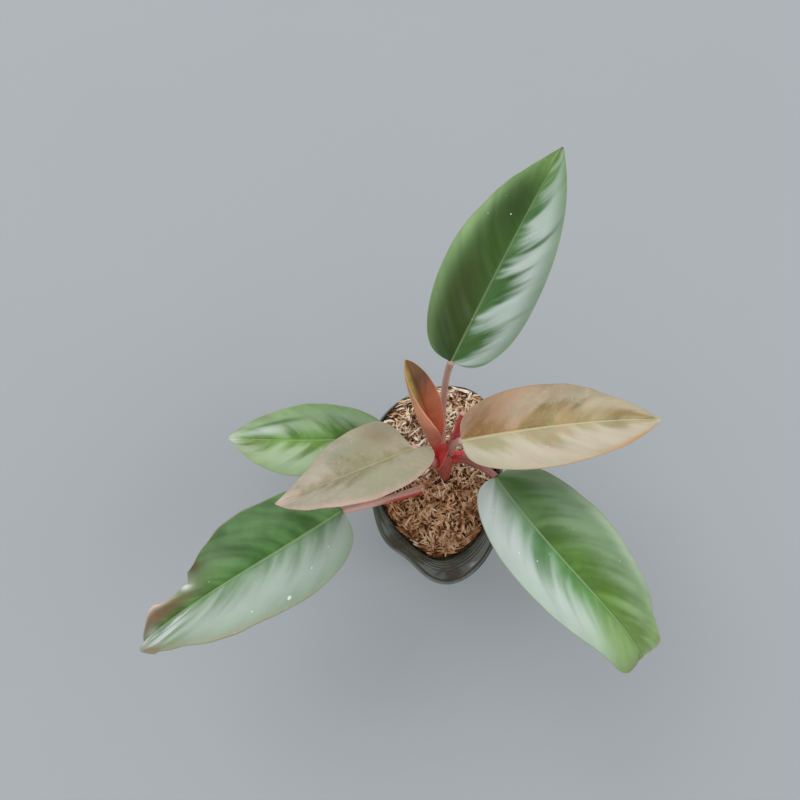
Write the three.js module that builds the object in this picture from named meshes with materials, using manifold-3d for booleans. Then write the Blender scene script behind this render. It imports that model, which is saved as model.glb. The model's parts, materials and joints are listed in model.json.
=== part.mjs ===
// Potted congo rojo philodendron: a young plant with six spread leaves and one unfurling leaf,
// in a soft, squeezed nursery pot filled with potting mix and topped with husk and straw mulch.
// Millimetres, +Z up. The origin is the centre of the pot's flat base.
import * as THREE from 'three';
import { mergeVertices } from 'three/addons/utils/BufferGeometryUtils.js';
import Module from 'manifold-3d';

const wasm = await Module();
wasm.setup();

// Driving dimensions of the pot
const POT_HEIGHT = 100;
const POT_WALL = 1.2;
const POT_FLOOR = 2;
const POT_SIDES = 44;
const LIP_WIDTH = 1.2;
const LIP_DEPTH = 3.5;
const LIP_CHAMFER = 0.6;
const LIP_STEP = 1;
const BASE_CHAMFER = 2.5;
const RIM_MEAN_RADIUS = 58.5;
const RIM_EGG = 6.3;
const RIM_OVAL = 11.8;
const SQUEEZE_AXIS = -86;
const BASE_MEAN_RADIUS = 40;
const BASE_EGG = 2;
const BASE_OVAL = 3;
const FLARE_BACK = 1.3;
const FLARE_FRONT = 6;
// Where the even taper turns into the late flare, as the sine of the angle towards the front
const FLARE_SPAN = [-0.2, 0.6];
// Dents and corners of the squeezed plastic: where, how wide (degrees) and how far out
const RIM_BUMPS = [
  { at: -86, width: 22, out: 4 },
  { at: -110, width: 16, out: -6 },
  { at: 64, width: 20, out: 6.5 },
  { at: 114, width: 35, out: -6.5 },
];
const BASE_BUMPS = [{ at: -135, width: 22, out: -5 }];
const DRAIN_HOLES = 6;
const DRAIN_HOLE_RADIUS = 4;
const DRAIN_HOLE_SIDES = 10;
const DRAIN_CIRCLE_RADIUS = 25;
const WALL_HEIGHTS = [30, 60, 76, 84, 90];

// Driving dimensions of the fill
const SEAT_GAP = 0.3;
const FILL_GAP = 0.8;
const MULCH_GAP = 0.6;
const MIX_TOP = 73.7;
const MULCH_BOTTOM = 74;
const MULCH_SIDE_RING = 80;
const MULCH_LEVEL = 90.8;
const MULCH_SLOPE = 0.13;
const MULCH_RELIEF = 0.9;
// The waves of the bed's surface: radians in each millimetre along X and Y, with their phase
const MULCH_LUMPS = { x: 0.31, y: 0.27, phase: 1.3 };
const MULCH_RIDGES = { x: 0.19, y: 0.41, phase: 0.7, share: 0.6 };
const MULCH_RINGS = [0.84, 0.66, 0.48, 0.3, 0.13];
const FLAKE_COUNT = 95;
const FLAKE_LENGTH = [11, 20];
const FLAKE_WIDTH = 2.5;
const FLAKE_THICKNESS = 1.7;
const FLAKE_TILT = 16;
const FLAKE_LIFT = 0.3;
const FLAKE_SEED = 7;
const FLAKE_EDGE_MARGIN = 3.5;
const STEM_MARGIN = 7;

// Driving dimensions of the blades
const BLADE_ROWS = 18;
const BLADE_COLUMNS = [0, 0.1, 0.38, 0.7, 1];
const BLADE_THICKNESS = 0.9;
const MIDRIB_THICKNESS = 2.4;
const BLADE_FOOT_HALF_WIDTH = 2;
const BLADE_TIP_HALF_WIDTH = 0.4;
// Outline of a plain blade: how fast it widens and narrows, how far its rows lean forward,
// and how far along the two lobes at the foot reach
const OUTLINE_RISE = 0.5;
const OUTLINE_FALL = 1.05;
const ROW_LEAN = 0.07;
const LEAN_CURVE = 1.6;
const LOBE_REACH = 0.07;
const BLADE_CUP = 20;
// Keeps a flat half from a division by zero
const LEAST_CUP = 1e-6;
// How much closer the rows stand at the foot and at the tip than in the middle
const ROW_CROWDING = 0.7;
const MIDLINE_STATIONS = 80;
const TEAR_WIDTH = 0.012;
const PETIOLE_SIDES = 8;
const PETIOLE_STEPS = 11;
const PETIOLE_TAPER = 1.6;
const WING_REACH = 0.55;

// Each leaf: foot is where the blade meets its petiole, azimuth is where the blade heads,
// and left and right are seen along that heading from above. The petiole's path is a cubic
// curve from the stem through two handles to the blade's foot. Angles are in degrees.
// Lobe and lobeReach are for the left and right half. Swells change a half's width: where along
// the blade, how far they reach and how many millimetres they add. A tear cuts into one margin.
const LEAVES = [
  {
    name: 'back', foot: [4, 42, 200], azimuth: 60, sweep: 1, pitch: [32, 8], bend: 1,
    length: 139, left: 28, right: 26, fold: [22, 12], roll: [13, -8],
    lobe: [0.02, 0.02], wave: 0.8, waves: 3.2, bladeColour: '#4f6b45',
    petiole: [[2.8, 17, 114], [3.8, 33, 124], [1, 46, 161]],
    petioleRadius: [3.2, 2.1], wing: 0, petioleColour: '#9a7068',
  },
  {
    name: 'right', foot: [11, 5, 172], azimuth: 4, sweep: 7, pitch: [22, -28], bend: 1,
    length: 127, left: 24, right: 22, fold: [15, 12], roll: [18, -13],
    lobe: [0.02, 0.02], wave: 0.8, waves: 2.6, bladeColour: '#a8967c',
    petiole: [[9, 16, 115], [7.5, 15.5, 136], [8, 8.5, 158]],
    petioleRadius: [3.2, 2.2], wing: 0, petioleColour: '#9c7a70',
  },
  {
    name: 'front_right', foot: [36, -5, 132], azimuth: -62, sweep: 21, pitch: [12, -78],
    bend: 3.2, length: 150, left: 33.5, right: 29, fold: [22, 24], roll: [4, 6],
    lobe: [0.02, 0.02], wave: 1.4, waves: 3.4, bladeColour: '#6f9a6c',
    swellsLeft: [{ at: 0.74, reach: 0.1, out: -5 }, { at: 0.97, reach: 0.07, out: 8 }],
    swellsRight: [{ at: 0.96, reach: 0.1, out: 9.5 }],
    petiole: [[7, 12.5, 114], [17, 13, 118], [26, 7, 127]],
    petioleRadius: [2.9, 2.4], wing: 0, petioleColour: '#7c3f42',
  },
  {
    name: 'front_left', foot: [-61, -26, 128], azimuth: -145, sweep: -7, pitch: [6, -60],
    bend: 2.6, length: 156.5, left: 36, right: 30.5, fold: [22, 24], roll: [-11, 43],
    lobe: [0.02, 0.02], wave: 1.4, waves: 3.6, bladeColour: '#6b8f68',
    swellsRight: [
      { at: 0.1, reach: 0.07, out: 2 }, { at: 0.27, reach: 0.1, out: 1 },
      { at: 0.64, reach: 0.12, out: -9 }, { at: 0.94, reach: 0.09, out: 9 },
    ],
    tear: { at: 0.575, reach: 0.07, depth: 5 },
    petiole: [[5, 6, 87], [-8, -2, 88], [-32, -16, 117]],
    petioleRadius: [3.2, 2.4], wing: 1.2, petioleColour: '#b98780',
  },
  {
    name: 'left', foot: [-17, 2, 168], azimuth: -150, sweep: -15, pitch: [22, -25], bend: 1,
    length: 88, left: 28, right: 33, fold: [15, 12], roll: [26, 44],
    lobe: [0.11, 0.06], lobeReach: [0.022, 0.07], wave: 0.6, waves: 2.2, bladeColour: '#a7a48d',
    petiole: [[2, 10, 108], [-6, 6, 136], [-12.5, 2.8, 157]],
    petioleRadius: [3.2, 2.2], wing: 0, petioleColour: '#9c7a70',
  },
  {
    name: 'back_left', foot: [-31, 20, 138], azimuth: -168, sweep: -24, pitch: [20, -22],
    bend: 1, length: 109, left: 25, right: 23, fold: [22, 15], roll: [29, -28],
    lobe: [0.02, 0.02], wave: 0.8, waves: 2.8, bladeColour: '#86a66c',
    petiole: [[1, 12, 104], [-9, 9, 111], [-20, 14, 128]],
    petioleRadius: [3.2, 2.2], wing: 0, petioleColour: '#9c7a70',
  },
];

// The young leaf is still rolled: its left half curls over inward. It grows from a short stalk.
const NEW_LEAF = {
  foot: [-2, 18, 126], azimuth: 131, sweep: 28, pitch: [77, 74], bend: 1,
  length: 98, left: 13, right: 10.6, fold: [-2, 4], cup: 12, cupTip: 0,
  foldLeft: [-5, -31], cupLeft: [-235, -70], roll: [-13, -18],
  lobe: [0, 0], wave: 0, waves: 0, rise: 0.55, fall: 0.9, reach: 0.04,
  columns: [0, 0.16, 0.36, 0.57, 0.78, 1], midrib: 1.6, rows: 14,
};
const NEW_LEAF_STALK = {
  path: [[2, 15, 117], [1, 16.5, 121], [-1, 17.5, 126], [-2.5, 19, 131]], radii: [3.6, 1.9], steps: 5,
};

// The red bud scale at the crown, the stem with its roots, and the stub of a leaf cut away
const SCALE = {
  foot: [-1.7, 10, 116], azimuth: 32, sweep: 0, pitch: [68, 58], bend: 1,
  length: 23, left: 3, right: 6.5, fold: [12, 25], cup: -40, roll: [0, 0],
  lobe: [0, 0], wave: 0, waves: 0, rise: 0.35, fall: 0.6, reach: 0.05, midrib: 1.4, rows: 10,
};
const STEM_AXIS = [
  [6, 6, 52], [6.3, 6, 76], [6.6, 6.8, 92], [5.8, 9, 104], [4.6, 12.5, 115], [4, 15, 120],
];
const STEM_RADII = [4.4, 3.7, 3.1, 5.2, 6.6, 4.6];
const STEM_SIDES = 12;
const STEM_STEPS = 14;
const ROOT_COUNT = 5;
const ROOT_RADIUS = [2.1, 1];
const ROOT_START = 1;
const ROOT_SPREAD = 27;
const ROOT_TOP = 66;
const ROOT_STAGGER = 3;
const ROOT_DEPTH = 34;
const ROOT_TURN = 0.3;
// A root leaves the stem level, and has turned down after this share of its spread and depth
const ROOT_LEVEL_SHARE = 0.5;
const ROOT_BEND_SHARE = [0.9, 0.4];
const ROOT_STEPS = 5;
const ROOT_SIDES = 5;
const CUT_STALK = {
  path: [[7, 13, 98], [11, 25, 101], [14.5, 32, 107], [18.8, 41.5, 126]], radii: [3, 2.6], steps: 8,
};
// A ball of few faces stands this much larger than the round end that it covers
const BALL_GROWTH = 1.25;

// Finish of each kind of piece: leaves carry their colour above
const BLADE_ROUGHNESS = 0.38;
const PETIOLE_ROUGHNESS = 0.45;
const FINISHES = {
  stem: { colour: '#7a3a3c', roughness: 0.5 },
  newLeaf: { colour: '#a4542f', roughness: 0.35 },
  scale: { colour: '#b3262c', roughness: 0.3 },
  cutStalk: { colour: '#8c2f36', roughness: 0.4 },
  pot: { colour: '#1c2420', roughness: 0.25 },
  pottingMix: { colour: '#3d2c20', roughness: 0.95 },
  mulch: { colour: '#b08a62', roughness: 0.9 },
};

const radians = THREE.MathUtils.degToRad;
const mix = THREE.MathUtils.lerp;

function seededRandom(seed) {
  let state = seed;
  return () => {
    state = (state + 0x6d2b79f5) | 0;
    let t = Math.imul(state ^ (state >>> 15), 1 | state);
    t = (t + Math.imul(t ^ (t >>> 7), 61 | t)) ^ t;
    return ((t ^ (t >>> 14)) >>> 0) / 2 ** 32;
  };
}

// Closed bodies

// Makes a geometry from points and triangles, skips the empty ones and points the rest out.
function closedGeometry(points, triangles) {
  const faces = triangles.filter(([a, b, c]) => a !== b && b !== c && c !== a);
  let volume = 0;
  const cross = new THREE.Vector3();
  for (const [a, b, c] of faces) {
    volume += points[a].dot(cross.crossVectors(points[b], points[c]));
  }
  if (volume < 0) {
    faces.forEach((face) => face.reverse());
  }
  const geometry = new THREE.BufferGeometry();
  const places = points.flatMap((p) => p.toArray());
  geometry.setAttribute('position', new THREE.Float32BufferAttribute(places, 3));
  geometry.setIndex(faces.flat());
  return geometry;
}

// Joins rings of points into a closed body, with a fan to a middle point at both ends.
function loft(rings, startPoint, endPoint) {
  const sides = rings[0].length;
  const points = rings.flat();
  const triangles = [];
  for (let r = 0; r + 1 < rings.length; r += 1) {
    for (let k = 0; k < sides; k += 1) {
      const a = r * sides + k;
      const b = r * sides + ((k + 1) % sides);
      triangles.push([a, b, b + sides], [a, b + sides, a + sides]);
    }
  }
  const start = points.push(startPoint) - 1;
  const end = points.push(endPoint) - 1;
  const last = (rings.length - 1) * sides;
  for (let k = 0; k < sides; k += 1) {
    triangles.push([start, (k + 1) % sides, k]);
    triangles.push([end, last + k, last + ((k + 1) % sides)]);
  }
  return closedGeometry(points, triangles);
}

// A tube along a curve; size(u) gives its half width and half height. Its section starts with
// its width level and is carried along the curve without twisting.
function tube(curve, steps, sides, size) {
  const chord = curve.getPoint(1).sub(curve.getPoint(0));
  const across = new THREE.Vector3(-chord.y, chord.x, 0).normalize();
  const rings = [];
  for (let i = 0; i <= steps; i += 1) {
    const u = i / steps;
    const centre = curve.getPoint(u);
    const along = curve.getTangent(u);
    across.addScaledVector(along, -across.dot(along)).normalize();
    const up = new THREE.Vector3().crossVectors(along, across);
    const [width, height] = size(u);
    rings.push(Array.from({ length: sides }, (_, k) => {
      const angle = (2 * Math.PI * (k + 0.5)) / sides;
      return centre.clone()
        .addScaledVector(across, width * Math.cos(angle))
        .addScaledVector(up, height * Math.sin(angle));
    }));
  }
  return loft(rings, curve.getPoint(0), curve.getPoint(1));
}

function bezier(points) {
  return new THREE.CubicBezierCurve3(...points.map((p) => new THREE.Vector3(...p)));
}

// Solids for joining and cutting

function toSolid(geometry) {
  const bare = geometry.clone();
  bare.deleteAttribute('normal');
  bare.deleteAttribute('uv');
  const merged = mergeVertices(bare, 1e-5);
  return new wasm.Manifold(new wasm.Mesh({
    numProp: 3,
    vertProperties: Float32Array.from(merged.attributes.position.array),
    triVerts: Uint32Array.from(merged.index.array),
  }));
}

function toGeometry(solid) {
  const mesh = solid.getMesh();
  const geometry = new THREE.BufferGeometry();
  geometry.setAttribute('position', new THREE.BufferAttribute(mesh.vertProperties, 3));
  geometry.setIndex(new THREE.BufferAttribute(mesh.triVerts, 1));
  return geometry;
}

// Drops loose scraps: keeps the largest body.
function largestBody(solid) {
  const bodies = solid.decompose();
  return bodies.reduce((a, b) => (b.volume() > a.volume() ? b : a));
}

function cutBy(solid, cutters) {
  const cut = cutters.reduce((body, cutter) => body.subtract(cutter), solid);
  return largestBody(cut);
}

// Pot

// The sum of the dents and corners that stand at this angle
function bumps(list, angle) {
  const degrees = THREE.MathUtils.radToDeg(angle);
  return list.reduce((sum, { at, width, out }) => {
    const away = THREE.MathUtils.euclideanModulo(degrees - at + 180, 360) - 180;
    return sum + out * Math.exp(-((away / width) ** 2));
  }, 0);
}

function rimRadius(angle) {
  const turn = angle - radians(SQUEEZE_AXIS);
  return RIM_MEAN_RADIUS - RIM_EGG * Math.cos(turn) + RIM_OVAL * Math.cos(2 * turn)
    + bumps(RIM_BUMPS, angle);
}

function baseRadius(angle) {
  const turn = angle - radians(SQUEEZE_AXIS);
  return BASE_MEAN_RADIUS - BASE_EGG * Math.cos(turn) + BASE_OVAL * Math.cos(2 * turn)
    + bumps(BASE_BUMPS, angle);
}

// The outer face of the wall: an even taper at the back, a late flare at the squeezed front.
function wallRadius(angle, z) {
  const front = THREE.MathUtils.smoothstep(-Math.sin(angle), ...FLARE_SPAN);
  const power = mix(FLARE_BACK, FLARE_FRONT, front);
  return mix(baseRadius(angle), rimRadius(angle) - LIP_WIDTH, (z / POT_HEIGHT) ** power);
}

const POT_ANGLES = Array.from({ length: POT_SIDES }, (_, k) => (2 * Math.PI * k) / POT_SIDES);

function around(radiusAt, heightAt) {
  return POT_ANGLES.map((angle) => {
    const radius = radiusAt(angle);
    return new THREE.Vector3(radius * Math.cos(angle), radius * Math.sin(angle), heightAt(angle));
  });
}

function wallRing(z, inset) {
  return around((angle) => wallRadius(angle, z) - inset, () => z);
}

function rimRing(z, inset) {
  return around((angle) => rimRadius(angle) - inset, () => z);
}

function potGeometry() {
  const lipFoot = POT_HEIGHT - LIP_DEPTH;
  const rings = [
    around((angle) => baseRadius(angle) - BASE_CHAMFER, () => 0),
    ...[BASE_CHAMFER, ...WALL_HEIGHTS, lipFoot - LIP_STEP].map((z) => wallRing(z, 0)),
    rimRing(lipFoot, LIP_CHAMFER),
    rimRing(lipFoot + LIP_CHAMFER, 0),
    rimRing(POT_HEIGHT - LIP_CHAMFER, 0),
    rimRing(POT_HEIGHT, LIP_CHAMFER),
    rimRing(POT_HEIGHT, LIP_WIDTH + POT_WALL - LIP_CHAMFER),
    ...[lipFoot - LIP_STEP, ...[...WALL_HEIGHTS].reverse(), POT_FLOOR].map((z) => wallRing(z, POT_WALL)),
  ];
  const shell = toSolid(loft(rings, new THREE.Vector3(0, 0, 0), new THREE.Vector3(0, 0, POT_FLOOR)));
  const holes = Array.from({ length: DRAIN_HOLES }, (_, k) => {
    const angle = (2 * Math.PI * (k + 0.5)) / DRAIN_HOLES;
    const hole = new THREE.CylinderGeometry(
      DRAIN_HOLE_RADIUS, DRAIN_HOLE_RADIUS, 4 * POT_FLOOR, DRAIN_HOLE_SIDES,
    );
    hole.rotateX(Math.PI / 2);
    hole.translate(DRAIN_CIRCLE_RADIUS * Math.cos(angle), DRAIN_CIRCLE_RADIUS * Math.sin(angle), 0);
    return toSolid(hole);
  });
  return toGeometry(cutBy(shell, holes));
}

// Stem with roots

function rootCurve(index) {
  const angle = (2 * Math.PI * (index + ROOT_TURN)) / ROOT_COUNT;
  const [x, y] = STEM_AXIS[0];
  const at = (reach, z) => [x + reach * Math.cos(angle), y + reach * Math.sin(angle), z];
  const top = ROOT_TOP - ROOT_STAGGER * (index % 3);
  const [bendSpread, bendDepth] = ROOT_BEND_SHARE;
  return bezier([
    at(ROOT_START, top),
    at(ROOT_SPREAD * ROOT_LEVEL_SHARE, top),
    at(ROOT_SPREAD * bendSpread, top - ROOT_DEPTH * bendDepth),
    at(ROOT_SPREAD, top - ROOT_DEPTH),
  ]);
}

function stemSolid(grow = 0) {
  const axis = new THREE.CatmullRomCurve3(STEM_AXIS.map((p) => new THREE.Vector3(...p)));
  const radiusAt = (u) => {
    const place = u * (STEM_RADII.length - 1);
    const index = Math.min(Math.floor(place), STEM_RADII.length - 2);
    return mix(STEM_RADII[index], STEM_RADII[index + 1], place - index) + grow;
  };
  let solid = toSolid(tube(axis, STEM_STEPS, STEM_SIDES, (u) => [radiusAt(u), radiusAt(u)]));
  if (grow > 0) {
    solid = solid.add(toSolid(ballAt(axis.getPoint(1), STEM_RADII.at(-1))));
    solid = solid.add(toSolid(ballAt(axis.getPoint(0), STEM_RADII[0])));
  }
  for (let i = 0; i < ROOT_COUNT; i += 1) {
    const curve = rootCurve(i);
    const size = (u) => mix(ROOT_RADIUS[0], ROOT_RADIUS[1], u) + grow;
    const root = tube(curve, ROOT_STEPS, ROOT_SIDES, (u) => [size(u), size(u)]);
    solid = solid.add(toSolid(root));
    if (grow > 0) {
      solid = solid.add(toSolid(ballAt(curve.getPoint(1), ROOT_RADIUS[1])));
    }
  }
  return solid;
}

// A round end for a grown cutter: its flat end disc plus a gap in every direction.
function ballAt(centre, radius) {
  const ball = new THREE.OctahedronGeometry(radius * BALL_GROWTH, 1);
  ball.translate(centre.x, centre.y, centre.z);
  return ball;
}

// Potting mix and mulch

function mixSolid() {
  const inset = POT_WALL + FILL_GAP;
  const heights = [POT_FLOOR + SEAT_GAP, ...WALL_HEIGHTS.filter((z) => z < MIX_TOP), MIX_TOP];
  const rings = heights.map((z) => wallRing(z, inset));
  return toSolid(loft(rings, new THREE.Vector3(0, 0, heights[0]), new THREE.Vector3(0, 0, MIX_TOP)));
}

function mulchHeight(x, y) {
  const lumps = Math.sin(MULCH_LUMPS.x * x + MULCH_LUMPS.phase) * Math.cos(MULCH_LUMPS.y * y);
  const ridges = Math.sin(MULCH_RIDGES.x * x - MULCH_RIDGES.y * y + MULCH_RIDGES.phase);
  return MULCH_LEVEL + MULCH_SLOPE * y + MULCH_RELIEF * (lumps + MULCH_RIDGES.share * ridges);
}

function mulchEdgeRadius(angle) {
  let radius = wallRadius(angle, MULCH_LEVEL);
  for (let pass = 0; pass < 4; pass += 1) {
    const z = mulchHeight(radius * Math.cos(angle), radius * Math.sin(angle));
    radius = wallRadius(angle, z) - POT_WALL - MULCH_GAP;
  }
  return radius;
}

function mulchBed() {
  const inset = POT_WALL + MULCH_GAP;
  const ringAt = (share) => POT_ANGLES.map((angle) => {
    const radius = share * mulchEdgeRadius(angle);
    const x = radius * Math.cos(angle);
    const y = radius * Math.sin(angle);
    return new THREE.Vector3(x, y, mulchHeight(x, y));
  });
  const sides = [MULCH_BOTTOM, MULCH_SIDE_RING].map((z) => wallRing(z, inset));
  const rings = [...sides, ringAt(1), ...MULCH_RINGS.map(ringAt)];
  return loft(rings, new THREE.Vector3(0, 0, MULCH_BOTTOM), new THREE.Vector3(0, 0, mulchHeight(0, 0)));
}

// Husk flakes, larger than life, lie on the bed at random turns and sink partly into it.
function mulchSolid() {
  const random = seededRandom(FLAKE_SEED);
  let solid = toSolid(mulchBed());
  const [stemX, stemY] = STEM_AXIS[2];
  let placed = 0;
  while (placed < FLAKE_COUNT) {
    const angle = 2 * Math.PI * random();
    const half = mix(FLAKE_LENGTH[0], FLAKE_LENGTH[1], random()) / 2;
    const reach = mulchEdgeRadius(angle) - half - FLAKE_EDGE_MARGIN;
    const radius = reach * Math.sqrt(random());
    const x = radius * Math.cos(angle);
    const y = radius * Math.sin(angle);
    const turn = Math.PI * random();
    const tilt = radians(FLAKE_TILT) * (2 * random() - 1);
    if (Math.hypot(x - stemX, y - stemY) < STEM_MARGIN) {
      continue;
    }
    const flake = new THREE.OctahedronGeometry(1, 0);
    flake.scale(half, FLAKE_WIDTH, FLAKE_THICKNESS);
    flake.rotateY(tilt);
    flake.rotateZ(turn);
    flake.translate(x, y, mulchHeight(x, y) + FLAKE_LIFT);
    solid = solid.add(toSolid(flake));
    placed += 1;
  }
  return solid;
}

// Blades

// The midline of a blade in its own frame: foot at the origin, heading along +X.
function midline(leaf) {
  const stations = MIDLINE_STATIONS;
  const line = [];
  const point = new THREE.Vector3();
  let before = null;
  for (let i = 0; i <= stations; i += 1) {
    const u = i / stations;
    const azimuth = radians(leaf.sweep * u);
    const pitch = radians(mix(leaf.pitch[0], leaf.pitch[1], u ** leaf.bend));
    const roll = radians(mix(leaf.roll[0], leaf.roll[1], u));
    const along = new THREE.Vector3(Math.cos(pitch) * Math.cos(azimuth),
      Math.cos(pitch) * Math.sin(azimuth), Math.sin(pitch));
    const level = new THREE.Vector3(-Math.sin(azimuth), Math.cos(azimuth), 0);
    const upright = new THREE.Vector3().crossVectors(along, level);
    if (before) {
      point.addScaledVector(before.clone().add(along), leaf.length / stations / 2);
    }
    before = along;
    line.push({
      point: point.clone(),
      along,
      side: level.clone().multiplyScalar(Math.cos(roll)).addScaledVector(upright, Math.sin(roll)),
      face: upright.clone().multiplyScalar(Math.cos(roll)).addScaledVector(level, -Math.sin(roll)),
    });
  }
  return (distance) => {
    const place = THREE.MathUtils.clamp(distance / leaf.length, 0, 1) * stations;
    const index = Math.min(Math.floor(place), stations - 1);
    const share = place - index;
    const [a, b] = [line[index], line[index + 1]];
    return {
      point: a.point.clone().lerp(b.point, share).addScaledVector(line[0].along, Math.min(distance, 0)),
      side: a.side.clone().lerp(b.side, share).normalize(),
      face: a.face.clone().lerp(b.face, share).normalize(),
    };
  };
}

// The rows' places along a blade, from 0 at the foot to 1 at the tip; a tear has two of its own.
function bladeRows(leaf) {
  const count = leaf.rows ?? BLADE_ROWS;
  const places = Array.from({ length: count + 1 }, (_, i) => {
    const even = i / count;
    return mix(even, (1 - Math.cos(Math.PI * even)) / 2, ROW_CROWDING);
  });
  if (leaf.tear) {
    places.push(leaf.tear.at, leaf.tear.at + TEAR_WIDTH);
  }
  return places.sort((a, b) => a - b);
}

// The width of one half at a place along the blade, from the midrib to the margin
function halfWidth(leaf, t, left) {
  const rise = leaf.rise ?? OUTLINE_RISE;
  const fall = leaf.fall ?? OUTLINE_FALL;
  const widest = rise / (rise + fall);
  const peak = widest ** rise * (1 - widest) ** fall;
  const outline = (t ** rise * (1 - t) ** fall) / peak;
  const plain = (left ? leaf.left : leaf.right) * outline
    + mix(BLADE_FOOT_HALF_WIDTH, BLADE_TIP_HALF_WIDTH, t);
  const swells = (left ? leaf.swellsLeft : leaf.swellsRight) ?? [];
  const swollen = swells.reduce((sum, { at, reach, out }) => (
    sum + out * Math.exp(-(((t - at) / reach) ** 2))
  ), plain);
  return left || !leaf.tear ? swollen : swollen - tearDepth(leaf.tear, t);
}

// A tear in the right margin is deepest just past its sharp corner and runs out towards the tip.
function tearDepth({ at, reach, depth }, t) {
  return t > at ? depth * Math.exp(-(t - at) / reach) : 0;
}

// How far back a half's rows are drawn to form its rounded lobe at the foot
function lobeAt(leaf, t, left) {
  const half = left ? 0 : 1;
  const reach = leaf.lobeReach ? leaf.lobeReach[half] : LOBE_REACH;
  return leaf.lobe[half] * (t / reach) * Math.exp(1 - t / reach);
}

// One blade: rows run from foot to tip, columns from the left margin over the midrib to the
// right margin. Each half rises from the midrib by its fold angle and then curves by its cup.
function bladeGeometry(leaf, grow = 0) {
  const at = midline(leaf);
  const columns = leaf.columns ?? BLADE_COLUMNS;
  const reach = leaf.reach ?? ROW_LEAN;
  const cupFoot = leaf.cup ?? BLADE_CUP;
  const cupEven = [cupFoot, leaf.cupTip ?? cupFoot];
  const rows = bladeRows(leaf);
  const shares = [...columns].reverse().map((s) => ({ s, left: true }))
    .concat(columns.slice(1).map((s) => ({ s, left: false })));
  const upper = [];
  const lower = [];
  for (const t of rows) {
    for (const { s, left } of shares) {
      const width = halfWidth(leaf, t, left) + grow;
      const lean = reach * 4 * t * (1 - t) - lobeAt(leaf, t, left);
      const foldEnds = left && leaf.foldLeft ? leaf.foldLeft : leaf.fold;
      const cupEnds = left && leaf.cupLeft ? leaf.cupLeft : cupEven;
      const fold = radians(mix(foldEnds[0], foldEnds[1], t));
      const cup = radians(mix(cupEnds[0], cupEnds[1], t)) + LEAST_CUP;
      const out = (Math.sin(fold) - Math.sin(fold - cup * s)) / cup;
      const up = (Math.cos(fold - cup * s) - Math.cos(fold)) / cup;
      const ripple = leaf.wave * Math.sin(2 * Math.PI * leaf.waves * t) * s * s * Math.sin(Math.PI * t);
      const end = t === 0 ? -grow : 0;
      const { point, side, face } = at(leaf.length * (t + lean * s ** LEAN_CURVE) + end);
      const across = (left ? 1 : -1) * width;
      const slope = fold - cup * s;
      const normal = face.clone().multiplyScalar(Math.cos(slope))
        .addScaledVector(side, -Math.sign(across) * Math.sin(slope));
      const surface = point.addScaledVector(side, across * out)
        .addScaledVector(face, width * up + ripple);
      const rib = mix(leaf.midrib ?? MIDRIB_THICKNESS, BLADE_THICKNESS, t);
      const thickness = s === 0 ? rib : BLADE_THICKNESS;
      upper.push(surface.clone().addScaledVector(normal, grow));
      lower.push(surface.clone().addScaledVector(normal, -thickness - grow));
    }
  }
  return sheetGeometry(upper, lower, rows.length - 1, shares.length);
}

// Closes two like grids into a thin body whose last row runs to a single point at the tip.
function sheetGeometry(upper, lower, rows, across) {
  const middle = rows * across + (across - 1) / 2;
  const top = (i, j) => (i === rows ? middle : i * across + j);
  const bottom = (i, j) => upper.length + top(i, j);
  const triangles = [];
  for (let i = 0; i < rows; i += 1) {
    for (let j = 0; j + 1 < across; j += 1) {
      const [a, b, c, d] = [top(i, j), top(i, j + 1), top(i + 1, j), top(i + 1, j + 1)];
      triangles.push([a, b, c], [b, d, c]);
      const [e, f, g, h] = [bottom(i, j), bottom(i, j + 1), bottom(i + 1, j), bottom(i + 1, j + 1)];
      triangles.push([e, g, f], [f, g, h]);
    }
    for (const [j, flip] of [[0, false], [across - 1, true]]) {
      const leading = [top(i, j), top(i + 1, j), bottom(i + 1, j)];
      const trailing = [top(i, j), bottom(i + 1, j), bottom(i, j)];
      triangles.push(...[leading, trailing].map((face) => (flip ? face.reverse() : face)));
    }
  }
  for (let j = 0; j + 1 < across; j += 1) {
    triangles.push([top(0, j), bottom(0, j), top(0, j + 1)]);
    triangles.push([top(0, j + 1), bottom(0, j), bottom(0, j + 1)]);
  }
  return closedGeometry([...upper, ...lower], triangles);
}

function bladeMatrix(leaf) {
  return new THREE.Matrix4().makeRotationZ(radians(leaf.azimuth)).setPosition(...leaf.foot);
}

// Petioles

function petioleGeometry(leaf, grow = 0) {
  const curve = bezier([...leaf.petiole, leaf.foot]);
  const size = (u) => {
    const taper = Math.min(1, PETIOLE_TAPER * u);
    const radius = mix(leaf.petioleRadius[0], leaf.petioleRadius[1], taper) + grow;
    const wing = leaf.wing * Math.max(0, 1 - u / WING_REACH);
    return [radius + wing, radius];
  };
  return tube(curve, PETIOLE_STEPS, PETIOLE_SIDES, size);
}

function stalkSolid({ path, radii, steps }, grow = 0) {
  return toSolid(tube(bezier(path), steps, PETIOLE_SIDES, (u) => {
    const radius = mix(radii[0], radii[1], u) + grow;
    return [radius, radius];
  }));
}

// Assembly

function part(name, geometry, { colour, roughness }) {
  const look = new THREE.MeshStandardMaterial({ color: colour, roughness, metalness: 0 });
  const mesh = new THREE.Mesh(geometry, look);
  mesh.name = name;
  return mesh;
}

const stemCutter = stemSolid(SEAT_GAP);
const blades = new THREE.Group();
const petioles = new THREE.Group();
const cutters = [stemCutter];

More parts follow.
